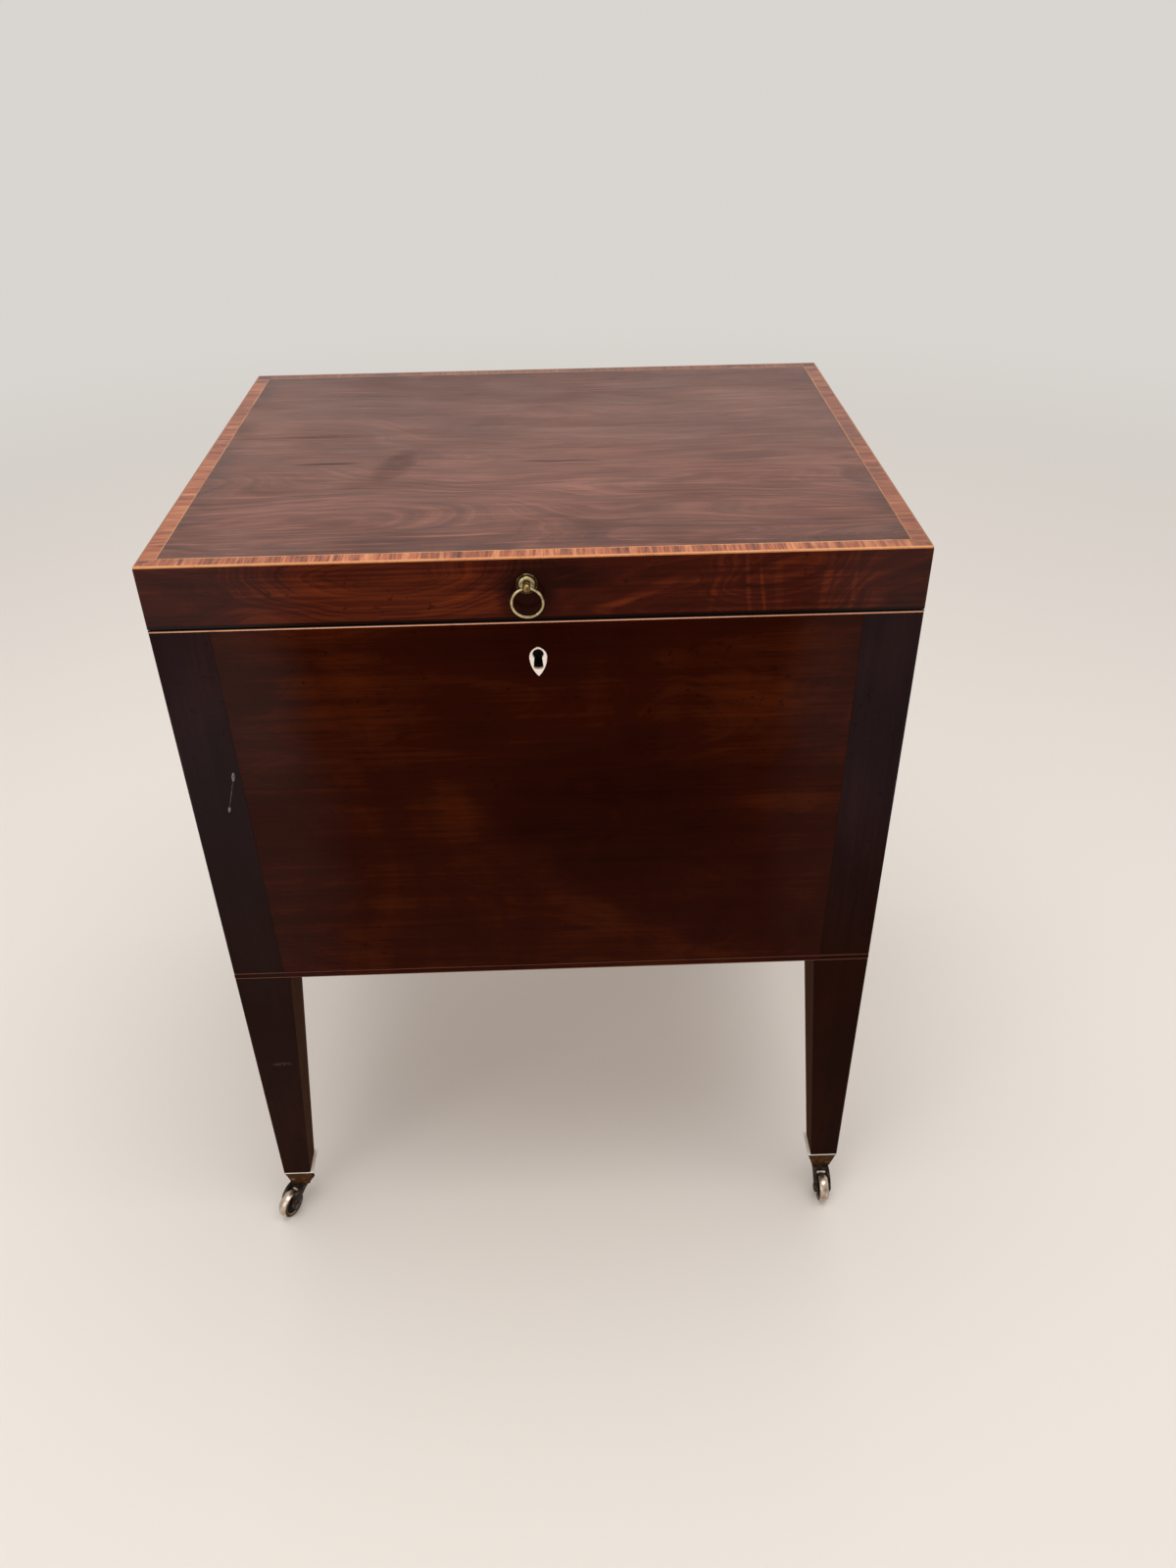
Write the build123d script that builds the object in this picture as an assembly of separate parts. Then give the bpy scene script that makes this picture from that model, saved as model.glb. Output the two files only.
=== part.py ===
from build123d import *
from math import radians, sqrt, tan
import os

# Cellarette: a square mahogany box for bottles on tapered legs with brass castors.
# Millimetres. X to the right, Y to the back, Z up, the origin on the floor under the middle of the case.

# Case and lid, overall
case_width = 520.0
case_depth = 422.0
case_height = 319.0
leg_length = 250.0
lid_height = 45.0
lid_gap = 1.0

# Corner posts, which run down into the legs
post_size = 45.0
foot_size = 24.4
stile_width = 40.5
post_wall = 18.0

# Panels, bottom board and partitions
panel_thickness = 14.0
board_thickness = 10.0
board_height = 6.0
board_tongue = 4.0
divider_thickness = 6.0
divider_height = 190.0
cell_column_count = 4
cell_row_count = 3
slip_clearance = 0.3
lap_clearance = 0.1

# Stringing and banding
string_size = 1.5
line_width = 1.0
line_depth = 1.0
base_band_width = 6.0
veneer_thickness = 1.0
crossband_width = 10.2
field_line_width = 0.8

# Lid
lid_rail_thickness = 14.0
lid_board_thickness = 8.0
lid_board_tongue = 7.0

# Butt hinges, let in at the back; the edges behind them are bevelled and meet when the lid stands open
hinge_length = 48.0
hinge_from_side = 95.0
hinge_leaf = 1.8
hinge_inset = 3.0
hinge_leaf_depth = 10.0
knuckle_radius = 2.9
knuckle_count = 5
knuckle_gap = 0.2
knuckle_clearance = 0.25
hinge_pin_radius = 1.3
pin_clearance = 0.05
hinge_screw_spacing = 15.0
lid_opening_angle = 96.0

# Wood screws
screw_head_radius = 2.5
screw_head_height = 1.4
screw_shank_radius = 1.2
screw_length = 11.0
screw_slot_width = 0.5
screw_slot_depth = 0.5
screw_clearance = 0.05

# Ring pull on the lid's front rail
pull_x = -6.4
pull_below_top = 18.4
rosette_radius = 7.2
rosette_edge = 0.7
rosette_rim = 1.2
rosette_hollow = 0.85
rosette_bead = 0.4
dome_radius = 5.5
dome_height = 2.2
dome_flat_radius = 3.3
neck_radius = 1.5
collar_radius = 2.2
collar_width = 1.0
collar_rounding = 0.45
collar_step = 0.4
ball_radius = 3.1
ball_reach = 7.6
eye_radius = 1.25
eye_mouth_radius = 1.95
ring_radius = 10.4
ring_wire_radius = 1.1
pull_shank_radius = 1.6
pull_nut_width = 8.0
pull_nut_thickness = 3.0

# Bone escutcheon and keyhole
lock_x = -1.0
keyhole_below_case_top = 25.4
keyhole_head_radius = 3.8
keyhole_waist = 5.2
keyhole_foot = 6.8
keyhole_drop = 11.6
keyhole_foot_rise = 1.2
escutcheon_width = 12.1
escutcheon_height = 22.9
escutcheon_thickness = 2.5
escutcheon_top_margin = 1.8
escutcheon_widest_drop = 9.3
escutcheon_shoulder = 4.7
escutcheon_shoulder_drop = 3.3
escutcheon_flank = 4.1
escutcheon_flank_drop = 16.9

# Box lock with a bolt that slides sideways into the lugs of a link plate
lock_width = 62.0
lock_height = 40.0
lock_thickness = 12.0
lock_wall = 1.5
wood_before_lock = 5.0
selvedge_overhang = 8.0
selvedge_thickness = 2.0
lug_spacing = 30.0
lug_thickness = 2.4
lug_depth = 5.4
lug_drop = 13.7
lug_eye = 4.4
lug_wall = 1.5
lug_side_clearance = 0.6
bolt_travel = 6.0
bolt_bar_height = 6.0
bolt_bar_length = 52.0
bolt_thickness = 3.4
bolt_prong = 3.4
bolt_gap = 0.5
bolt_rest_clearance = 0.2
talon_width = 8.0
talon_depth = 2.2
link_length = 50.0
link_width = 10.0
link_thickness = 1.8
link_screw_margin = 1.5

# Castors
plate_size = 27.0
plate_thickness = 2.0
horn_top = 26.0
horn_bottom = 16.0
horn_height = 20.0
crown_gap = 0.7
crown_thickness = 3.5
crown_front = 11.5
crown_back = 8.0
cheek_shoulder_x = 19.3
cheek_shoulder_drop = 2.2
cheek_throat_x = 9.5
cheek_throat_drop = 7.3
cheek_root_x = 2.0
cheek_thickness = 2.6
wheel_radius = 13.5
wheel_width = 8.4
wheel_crown = 1.3
wheel_dish = 1.0
wheel_hub_radius = 4.2
wheel_rim_thickness = 2.4
wheel_side_clearance = 0.5
castor_trail = 21.0
axle_radius = 1.8
axle_head_radius = 3.0
axle_head_height = 0.8
axle_boss_radius = 4.8
pivot_radius = 2.4
pivot_head_radius = 4.2
pivot_head_height = 1.5
pivot_reach = 24.0
pivot_end_gap = 0.3
running_clearance = 0.05
# How each castor has come to rest, in degrees from straight ahead, towards the right
castor_turn = {"front_left": -30.0, "front_right": 0.0, "back_right": 142.0, "back_left": 178.0}

# How far a cutting shape reaches past the piece it cuts
overcut = 1.0

# Heights that follow from the sizes above
half_width = case_width / 2
half_depth = case_depth / 2
crown_top = 2 * wheel_radius + crown_gap
horn_end = crown_top + pivot_end_gap
plate_top = horn_end + horn_height + plate_thickness
case_bottom = plate_top + leg_length
case_top = case_bottom + case_height
lid_bottom = case_top + lid_gap
lid_top = lid_bottom + lid_height
veneer_bottom = lid_top - veneer_thickness
lid_board_bottom = veneer_bottom - lid_board_thickness
board_bottom = case_bottom + board_height
board_top = board_bottom + board_thickness
panel_edge_x = half_width - stile_width
panel_edge_y = half_depth - stile_width
hinge_y = half_depth - hinge_inset
hinge_z = case_top + lid_gap / 2
hinge_reach = half_width - hinge_from_side
hinge_places = (-hinge_reach, hinge_reach)
keyhole_z = case_top - keyhole_below_case_top
pull_z = lid_top - pull_below_top
lock_front = wood_before_lock - half_depth
lock_back = lock_front + lock_thickness
lock_bottom = case_top - selvedge_thickness - lock_height
foot_centre = foot_size / 2
corners = {
    "front_left": (-1, -1),
    "front_right": (1, -1),
    "back_left": (-1, 1),
    "back_right": (1, 1),
}


def block(x0, x1, y0, y1, z0, z1):
    """A box from its lowest to its highest corner."""
    middle = Pos((x0 + x1) / 2, (y0 + y1) / 2, (z0 + z1) / 2)
    return middle * Box(x1 - x0, y1 - y0, z1 - z0)


def corner_block(corner, across, inwards, z0, z1):
    """A box at a corner, its plan given by distances in from the two outer faces."""
    sx, sy = corners[corner]
    xs = sorted(sx * (half_width - a) for a in across)
    ys = sorted(sy * (half_depth - b) for b in inwards)
    return block(*xs, *ys, z0, z1)


def rod(x, y, z0, z1, radius):
    """An upright cylinder."""
    return Pos(x, y, (z0 + z1) / 2) * Cylinder(radius, z1 - z0)


def cross_rod(x0, x1, y, z, radius):
    """A cylinder along X."""
    return Pos((x0 + x1) / 2, y, z) * Rot(0, 90, 0) * Cylinder(radius, x1 - x0)


def deep_rod(x, y0, y1, z, radius):
    """A cylinder along Y."""
    return Pos(x, (y0 + y1) / 2, z) * Rot(90, 0, 0) * Cylinder(radius, y1 - y0)


def prism(points, z0, height):
    """A plan outline drawn up to a height."""
    outline = make_face(Polyline(*points, close=True))
    return extrude(Pos(0, 0, z0) * outline, height)


def mitred_strip(side, inset, width, z0, height, back_mitre=True):
    """One strip of a rectangular frame, mitred at its corners, inset from the case's outer faces."""
    hx = half_width - inset
    hy = half_depth - inset
    back = hy - width if back_mitre else hy
    if side == "front":
        points = [(-hx, -hy), (hx, -hy), (hx - width, width - hy), (width - hx, width - hy)]
    elif side == "back":
        points = [(-hx, hy), (width - hx, hy - width), (hx - width, hy - width), (hx, hy)]
    elif side == "right":
        points = [(hx, -hy), (hx, hy), (hx - width, back), (hx - width, width - hy)]
    else:
        points = [(-hx, -hy), (width - hx, width - hy), (width - hx, back), (-hx, hy)]
    return prism(points, z0, height)


def mitred_frame(inset, width, z0, height):
    """Four mitred strips."""
    return [mitred_strip(side, inset, width, z0, height) for side in ("front", "back", "left", "right")]


def screw(x, y, z, up):
    """A countersunk wood screw with a slotted head, its head flush at z."""
    head = Cone(screw_shank_radius, screw_head_radius, screw_head_height)
    shank = Cone(screw_shank_radius / 3, screw_shank_radius, screw_length - screw_head_height)
    slot = Box(2 * screw_head_radius, screw_slot_width, 2 * screw_slot_depth)
    body = Pos(0, 0, -screw_head_height / 2) * head
    body += Pos(0, 0, -(screw_length + screw_head_height) / 2) * shank
    body -= slot
    turn = Rot(180, 0, 0) if up else Rot(0, 0, 0)
    return Pos(x, y, z) * turn * body


def screw_hole(x, y, z, up):
    """The countersunk hole that a screw goes into."""
    head_radius = screw_head_radius + screw_clearance
    shank_radius = screw_shank_radius + screw_clearance
    head = Cone(shank_radius, head_radius, screw_head_height)
    shank = Cylinder(shank_radius, screw_length + screw_clearance)
    body = Pos(0, 0, -screw_head_height / 2) * head
    body += Pos(0, 0, -(screw_length + screw_clearance) / 2) * shank
    turn = Rot(180, 0, 0) if up else Rot(0, 0, 0)
    return Pos(x, y, z) * turn * body


def cut_all(piece, cutters):
    """A piece with each cutter taken away."""
    for cutter in cutters:
        piece = piece - cutter
    return piece


def case_top_strings():
    """Light edging along the case's top edge, on the front and the two sides."""
    z0 = case_top - string_size
    strips = [mitred_strip("front", 0, string_size, z0, string_size)]
    for side in ("left", "right"):
        strip = mitred_strip(side, 0, string_size, z0, string_size, back_mitre=False)
        strips.append(strip - back_bevel())
    return strips


def base_strings():
    """Two light lines round the foot of the case."""
    upper = case_bottom + base_band_width - line_width
    lines = mitred_frame(0, line_depth, case_bottom, line_width)
    return lines + mitred_frame(0, line_depth, upper, line_width)


def back_bevel():
    """The bevel along the back edges of case and lid, whose faces meet when the lid stands open."""
    reach = hinge_inset + overcut
    drop = reach * tan(radians(lid_opening_angle / 2))
    points = [
        (hinge_y, case_top),
        (hinge_y + reach, case_top - drop),
        (hinge_y + reach, lid_bottom + drop),
        (hinge_y, lid_bottom),
    ]
    outline = make_face(Polyline(*points, close=True))
    return extrude(Plane.YZ * outline, half_width + overcut, both=True)


def upright(outline, y0, y1):
    """An outline round the keyhole's middle, seen from the front and drawn from one depth to another."""
    standing = Plane((lock_x, y1, keyhole_z), x_dir=(1, 0, 0), z_dir=(0, -1, 0))
    return extrude(standing * outline, y1 - y0)


def keyhole(y0, y1):
    """A keyhole: round head, narrow waist, and a foot that widens to a rounded end."""
    waist = keyhole_waist / 2
    foot = keyhole_foot / 2
    shoulder = sqrt(keyhole_head_radius**2 - waist**2)
    heel = keyhole_drop - keyhole_foot_rise
    slot = make_face(
        [
            Line((-waist, 0), (waist, 0)),
            Line((waist, 0), (waist, -shoulder)),
            Line((waist, -shoulder), (foot, -heel)),
            ThreePointArc((foot, -heel), (0, -keyhole_drop), (-foot, -heel)),
            Line((-foot, -heel), (-waist, -shoulder)),
            Line((-waist, -shoulder), (-waist, 0)),
        ]
    )
    return upright(Circle(keyhole_head_radius) + slot, y0, y1)


def escutcheon_blank(y0, y1):
    """The shield outline of the bone inlay: round shoulders drawn to a point."""
    half = escutcheon_width / 2
    top = keyhole_head_radius + escutcheon_top_margin
    widest = top - escutcheon_widest_drop
    shoulder = top - escutcheon_shoulder_drop
    flank = top - escutcheon_flank_drop
    point = top - escutcheon_height
    outline = make_face(
        [
            ThreePointArc((-half, widest), (-escutcheon_shoulder, shoulder), (0, top)),
            ThreePointArc((0, top), (escutcheon_shoulder, shoulder), (half, widest)),
            ThreePointArc((half, widest), (escutcheon_flank, flank), (0, point)),
            ThreePointArc((0, point), (-escutcheon_flank, flank), (-half, widest)),
        ]
    )
    return upright(outline, y0, y1)


def corner_post(corner):
    """A post that is one piece with its leg: L-shaped in the case, tapering on its inner faces below."""
    sx, sy = corners[corner]
    post = corner_block(corner, (0, post_size), (0, post_size), case_bottom, case_top)
    inner = (post_wall, post_size + overcut)
    above = case_top + overcut
    post -= corner_block(corner, inner, inner, board_top, above)
    edge = (stile_width, post_size + overcut)
    skin = (-overcut, panel_thickness)
    post -= corner_block(corner, edge, skin, case_bottom, above)
    post -= corner_block(corner, skin, edge, case_bottom, above)
    top_middle = Pos(sx * (half_width - post_size / 2), sy * (half_depth - post_size / 2), case_bottom)
    foot_middle = Pos(sx * (half_width - foot_centre), sy * (half_depth - foot_centre), plate_top)
    leg = loft([foot_middle * Rectangle(foot_size, foot_size), top_middle * Rectangle(post_size, post_size)])
    post += leg
    pivot_x, pivot_y = castor_axis(corner)
    post -= rod(pivot_x, pivot_y, plate_top - overcut, plate_top + pivot_reach, pivot_radius)
    cutters = case_top_strings() + base_strings()
    if sy > 0:
        cutters.append(back_bevel())
    return cut_all(post, cutters)


def panel(side):
    """One wall of the case, lying in the rebates of its two posts and grooved for the bottom board."""
    groove = panel_thickness - board_tongue
    past = panel_thickness + overcut
    if side in ("front", "back"):
        sy = -1 if side == "front" else 1
        ys = sorted((sy * half_depth, sy * (half_depth - panel_thickness)))
        grooved = sorted((sy * (half_depth - groove), sy * (half_depth - past)))
        wall = block(-panel_edge_x, panel_edge_x, *ys, case_bottom, case_top)
        wall -= block(-half_width, half_width, *grooved, board_bottom, board_top)
    else:
        sx = -1 if side == "left" else 1
        xs = sorted((sx * half_width, sx * (half_width - panel_thickness)))
        grooved = sorted((sx * (half_width - groove), sx * (half_width - past)))
        wall = block(*xs, -panel_edge_y, panel_edge_y, case_bottom, case_top)
        wall -= block(*grooved, -half_depth, half_depth, board_bottom, board_top)
    return cut_all(wall, case_top_strings() + base_strings())


def front_panel():
    """The front wall, with the keyhole, the seat of the escutcheon and the mortice of the lock."""
    wall = panel("front")
    wall -= escutcheon_blank(-half_depth - overcut, escutcheon_thickness - half_depth)
    wall -= keyhole(-half_depth, lock_front + overcut)
    left = lock_x - lock_width / 2
    right = lock_x + lock_width / 2
    inside = panel_thickness - half_depth + overcut
    above = case_top + overcut
    wall -= block(left, right, lock_front, inside, lock_bottom, above)
    seat = selvedge_overhang
    wall -= block(left - seat, right + seat, lock_front, inside, case_top - selvedge_thickness, above)
    return cut_all(wall, [screw_hole(x, y, case_top, False) for x, y in selvedge_screws()])


def back_panel():
    """The back wall, bevelled along its top and let in for the hinges."""
    wall = panel("back") - back_bevel()
    for x in hinge_places:
        wall = cut_all(wall, hinge_seats(x, case_top - hinge_leaf, case_top + overcut))
    return cut_all(wall, [screw_hole(x, y, case_top, False) for x, y in hinge_screws()])


def bottom_board():
    """The floor of the case, tongued into the four walls and notched round the posts."""
    inset = panel_thickness - board_tongue
    x = half_width - inset
    y = half_depth - inset
    board = block(-x, x, -y, y, board_bottom, board_top)
    notch = (-overcut, post_size)
    z0 = board_bottom - overcut
    z1 = board_top + overcut
    notches = [corner_block(name, notch, notch, z0, z1) for name in corners]
    return cut_all(board, notches)


def partition_places(count, half_span):
    """The middles of the partitions that share a span into equal cells."""
    return [half_span * (2 * i / count - 1) for i in range(1, count)]


def long_partition(y):
    """A partition along the case, slotted from its top for the cross partitions."""
    x = half_width - panel_thickness - slip_clearance
    half = divider_thickness / 2
    top = board_top + divider_height
    slat = block(-x, x, y - half, y + half, board_top, top)
    slot = half + lap_clearance
    past = half + overcut
    for place in partition_places(cell_column_count, half_width - panel_thickness):
        lap = top - divider_height / 2 - lap_clearance
        slat -= block(place - slot, place + slot, y - past, y + past, lap, top + overcut)
    return slat


def cross_partition(x):
    """A partition across the case, slotted from below to sit over the long ones."""
    y = half_depth - panel_thickness - slip_clearance
    half = divider_thickness / 2
    top = board_top + divider_height
    slat = block(x - half, x + half, -y, y, board_top, top)
    slot = half + lap_clearance
    past = half + overcut
    for place in partition_places(cell_row_count, half_depth - panel_thickness):
        lap = board_top + divider_height / 2
        slat -= block(x - past, x + past, place - slot, place + slot, board_top - overcut, lap)
    return slat


def lid_rail(side):
    """One mitred rail of the lid, rebated for the board and for the edge stringing."""
    rail = mitred_strip(side, 0, lid_rail_thickness, lid_bottom, veneer_bottom - lid_bottom)
    rail -= lid_board()
    rail = cut_all(rail, mitred_frame(0, string_size, lid_top - string_size, string_size))
    if side == "front":
        inside = lid_rail_thickness - half_depth
        rail -= deep_rod(pull_x, -half_depth - overcut, inside + overcut, pull_z, pull_shank_radius)
        half = link_length / 2
        y0, y1 = link_span()
        z0 = lid_bottom - overcut
        rail -= block(lock_x - half, lock_x + half, y0, y1, z0, lid_bottom + link_thickness)
        rail = cut_all(rail, [screw_hole(x, y, lid_bottom, True) for x, y in link_screws()])
    else:
        rail -= back_bevel()
    if side == "back":
        for x in hinge_places:
            rail = cut_all(rail, hinge_seats(x, lid_bottom - overcut, lid_bottom + hinge_leaf))
        rail = cut_all(rail, [screw_hole(x, y, lid_bottom, True) for x, y in hinge_screws()])
    return rail


def lid_board():
    """The board that fills the lid, let into the rails."""
    x = half_width - lid_rail_thickness + lid_board_tongue
    y = half_depth - lid_rail_thickness + lid_board_tongue
    return block(-x, x, -y, y, lid_board_bottom, veneer_bottom)


def lid_field():
    """The sheet of figured veneer inside the banding."""
    inset = string_size + crossband_width + field_line_width
    x = half_width - inset
    y = half_depth - inset
    return block(-x, x, -y, y, veneer_bottom, lid_top)


def lid_strings():
    """The square string on the lid's arris and the fine line inside the crossbanding."""
    outer = mitred_frame(0, string_size, lid_top - string_size, string_size)
    inset = string_size + crossband_width
    return outer + mitred_frame(inset, field_line_width, veneer_bottom, veneer_thickness)


def hinge_seats(x, z0, z1):
    """The shallow seat of a leaf and the hollow that its knuckles turn in."""
    half = hinge_length / 2
    leaf = block(x - half, x + half, hinge_y - hinge_leaf_depth, hinge_y + overcut, z0, z1)
    hollow = knuckle_radius + knuckle_clearance
    return [leaf, cross_rod(x - half, x + half, hinge_y, hinge_z, hollow)]


def knuckle_spans(x):
    """The ends of each knuckle along a hinge, alternately on the case leaf and the lid leaf."""
    length = (hinge_length - (knuckle_count - 1) * knuckle_gap) / knuckle_count
    first = x - hinge_length / 2
    return [(first + i * (length + knuckle_gap), first + i * (length + knuckle_gap) + length)
            for i in range(knuckle_count)]


def hinge_leaf_solid(x, for_lid):
    """One leaf of a butt hinge with its share of the knuckles, bored for the pin."""
    half = hinge_length / 2
    z0 = lid_bottom if for_lid else case_top - hinge_leaf
    leaf = block(x - half, x + half, hinge_y - hinge_leaf_depth, hinge_y, z0, z0 + hinge_leaf)
    for i, (x0, x1) in enumerate(knuckle_spans(x)):
        if (i % 2 == 1) == for_lid:
            leaf += cross_rod(x0, x1, hinge_y, hinge_z, knuckle_radius)
        else:
            room = knuckle_radius + knuckle_clearance
            leaf -= cross_rod(x0 - knuckle_gap, x1 + knuckle_gap, hinge_y, hinge_z, room)
    past = half + overcut
    leaf -= cross_rod(x - past, x + past, hinge_y, hinge_z, hinge_pin_radius + pin_clearance)
    z = lid_bottom if for_lid else case_top
    holes = [screw_hole(sx, sy, z, for_lid) for sx, sy in hinge_screws() if abs(sx - x) < half]
    return cut_all(leaf, holes)


def hinge_pins():
    """The steel pins that the lid turns on."""
    half = hinge_length / 2
    return [cross_rod(x - half, x + half, hinge_y, hinge_z, hinge_pin_radius) for x in hinge_places]


def hinge_screws():
    """Where the hinge screws stand in plan, three to a leaf."""
    y = hinge_y - (hinge_leaf_depth + knuckle_radius) / 2
    return [(x + i * hinge_screw_spacing, y) for x in hinge_places for i in (-1, 0, 1)]


def rosette():
    """The pull's turned backplate: a flat rim, a hollow, a bead and a dome."""
    bead = (rosette_radius + dome_radius) / 2
    rise = dome_height - rosette_rim
    run = dome_radius - dome_flat_radius
    rounding = (run**2 + rise**2) / (2 * rise)
    half = make_face(
        [
            Line((pull_shank_radius, 0), (rosette_radius, 0)),
            Line((rosette_radius, 0), (rosette_radius, rosette_edge)),
            ThreePointArc(
                (rosette_radius, rosette_edge), (bead + rosette_bead, rosette_rim), (bead, rosette_hollow)
            ),
            Line((bead, rosette_hollow), (dome_radius, rosette_rim)),
            RadiusArc((dome_radius, rosette_rim), (dome_flat_radius, dome_height), -rounding),
            Line((dome_flat_radius, dome_height), (pull_shank_radius, dome_height)),
            Line((pull_shank_radius, dome_height), (pull_shank_radius, 0)),
        ]
    )
    turned = revolve(Plane.XZ * half, Axis.Z)
    return Pos(pull_x, -half_depth, pull_z) * Rot(90, 0, 0) * turned


def pull_post():
    """The pull's turned post: shank, collar, neck and a ball with an eye for the ring."""
    start = -lid_rail_thickness - pull_nut_thickness
    post = Pos(0, 0, (start + dome_height) / 2) * Cylinder(pull_shank_radius, dome_height - start)
    neck_end = ball_reach - ball_radius / 2
    post += Pos(0, 0, (dome_height + neck_end) / 2) * Cylinder(neck_radius, neck_end - dome_height)
    collar = Cylinder(collar_radius, collar_width)
    collar = fillet(collar.edges().filter_by(GeomType.CIRCLE), collar_rounding)
    post += Pos(0, 0, dome_height + collar_step + collar_width / 2) * collar
    post += Pos(0, 0, ball_reach) * Sphere(ball_radius)
    eye = Rot(0, 90, 0) * Cylinder(eye_radius, 2 * (ball_radius + overcut))
    mouth_depth = ball_radius / 2
    mouth = Cone(eye_radius, eye_mouth_radius, mouth_depth)
    for side in (-1, 1):
        eye += Pos(side * (ball_radius - mouth_depth / 2), 0, 0) * Rot(0, side * 90, 0) * mouth
    post -= Pos(0, 0, ball_reach) * eye
    return Pos(pull_x, -half_depth, pull_z) * Rot(90, 0, 0) * post


def pull_nut():
    """The square nut behind the rail."""
    y0 = lid_rail_thickness - half_depth
    half = pull_nut_width / 2
    nut = block(pull_x - half, pull_x + half, y0, y0 + pull_nut_thickness, pull_z - half, pull_z + half)
    y1 = y0 + pull_nut_thickness
    return nut - deep_rod(pull_x, y0 - overcut, y1 + overcut, pull_z, pull_shank_radius)


def pull_ring():
    """The ring, hanging from the eye of the ball."""
    ring = Rot(90, 0, 0) * Torus(ring_radius, ring_wire_radius)
    return Pos(pull_x, -half_depth - ball_reach, pull_z - ring_radius) * ring


def escutcheon():
    """The bone shield round the keyhole."""
    blank = escutcheon_blank(-half_depth, escutcheon_thickness - half_depth)
    return blank - keyhole(-half_depth - overcut, escutcheon_thickness - half_depth + overcut)


def lug_places():
    """The middles of the two lugs along the lock."""
    return (lock_x - lug_spacing / 2, lock_x + lug_spacing / 2)


def lug_span():
    """Where the lugs stand in depth, in the middle of the lock's inside."""
    middle = (lock_front + lock_back) / 2
    return middle - lug_depth / 2, middle + lug_depth / 2


def bolt_level():
    """The height of the middle of the lugs' eyes."""
    return lid_bottom - lug_drop + lug_wall + lug_eye / 2


def bolt_bar_span():
    """The bottom and top of the bolt's bar, which runs below the lugs."""
    top = lid_bottom - lug_drop - bolt_gap
    return top - bolt_bar_height, top


def lock_case():
    """The lock's box, open to the inside of the case, with its selvedge and the rails of the bolt."""
    left = lock_x - lock_width / 2
    right = lock_x + lock_width / 2
    body = block(left, right, lock_front, lock_back, lock_bottom, case_top - selvedge_thickness)
    inside = lock_back - lock_wall
    top = case_top - selvedge_thickness - lock_wall
    wall = lock_wall
    past = lock_back + overcut
    body -= block(left + wall, right - wall, lock_front + wall, past, lock_bottom + wall, top)
    over = selvedge_overhang
    body += block(left - over, right + over, lock_front, lock_back, case_top - selvedge_thickness, case_top)
    y0, y1 = lug_span()
    for x in lug_places():
        side = lug_thickness / 2 + lug_side_clearance
        deep = lug_side_clearance
        body -= block(x - side, x + side, y0 - deep, y1 + deep, top - overcut, case_top + overcut)
    bar_bottom = bolt_bar_span()[0]
    rail_top = bar_bottom - bolt_rest_clearance
    for x0, x1 in ((left + wall, lock_x - talon_width), (lock_x + talon_width, right - wall)):
        body += block(x0, x1, lock_front + wall, inside, rail_top - wall, rail_top)
    body -= keyhole(lock_front - overcut, lock_front + wall + overcut)
    return cut_all(body, [screw_hole(x, y, case_top, False) for x, y in selvedge_screws()])


def lock_cover():
    """The plate that closes the lock on the inside of the case."""
    left = lock_x - lock_width / 2 + lock_wall
    right = lock_x + lock_width / 2 - lock_wall
    top = case_top - selvedge_thickness - lock_wall
    return block(left, right, lock_back - lock_wall, lock_back, lock_bottom + lock_wall, top)


def lock_bolt():
    """The sliding bolt: a bar with two hooks that enter the eyes of the lugs."""
    bottom, top = bolt_bar_span()
    middle = (lock_front + lock_back) / 2
    y0 = middle - bolt_thickness / 2
    y1 = middle + bolt_thickness / 2
    eye = bolt_level()
    x0 = lock_x - bolt_bar_length / 2 - bolt_travel / 2
    bolt = block(x0, x0 + bolt_bar_length, y0, y1, bottom, top)
    for x in lug_places():
        tip = x - lug_thickness / 2 - bolt_gap
        root = tip - bolt_travel - bolt_gap
        bolt += block(root - bolt_prong, root, y0, y1, bottom, eye + bolt_prong / 2)
        bolt += block(root - bolt_prong, tip, y0, y1, eye - bolt_prong / 2, eye + bolt_prong / 2)
    half = talon_width / 2
    shift = bolt_travel / 2
    talon = lock_x - shift
    notch_top = bottom + talon_depth
    near = y0 - overcut
    far = y1 + overcut
    return bolt - block(talon - half, talon + half, near, far, bottom - overcut, notch_top)


def link_span():
    """Where the link plate lies in depth."""
    middle = (lock_front + lock_back) / 2
    return middle - link_width / 2, middle + link_width / 2


def link_plate():
    """The plate under the lid's front rail, with two lugs that drop into the lock."""
    half = link_length / 2
    y0, y1 = link_span()
    plate = block(lock_x - half, lock_x + half, y0, y1, lid_bottom, lid_bottom + link_thickness)
    near, far = lug_span()
    middle = (near + far) / 2
    eye = bolt_level()
    for x in lug_places():
        x0 = x - lug_thickness / 2
        x1 = x + lug_thickness / 2
        plate += block(x0, x1, near, far, lid_bottom - lug_drop, lid_bottom)
        opening = lug_eye / 2
        left = x0 - overcut
        right = x1 + overcut
        plate -= block(left, right, middle - opening, middle + opening, eye - opening, eye + opening)
    return cut_all(plate, [screw_hole(x, y, lid_bottom, True) for x, y in link_screws()])


def link_screws():
    """Where the screws of the link plate stand in plan."""
    reach = link_length / 2 - screw_head_radius - link_screw_margin
    middle = (lock_front + lock_back) / 2
    return [(lock_x - reach, middle), (lock_x, middle), (lock_x + reach, middle)]


def selvedge_screws():
    """Where the screws of the selvedge stand in plan."""
    reach = (lock_width + selvedge_overhang) / 2
    middle = panel_thickness - half_depth - (panel_thickness - wood_before_lock) / 2
    return [(lock_x - reach, middle), (lock_x + reach, middle)]


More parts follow.
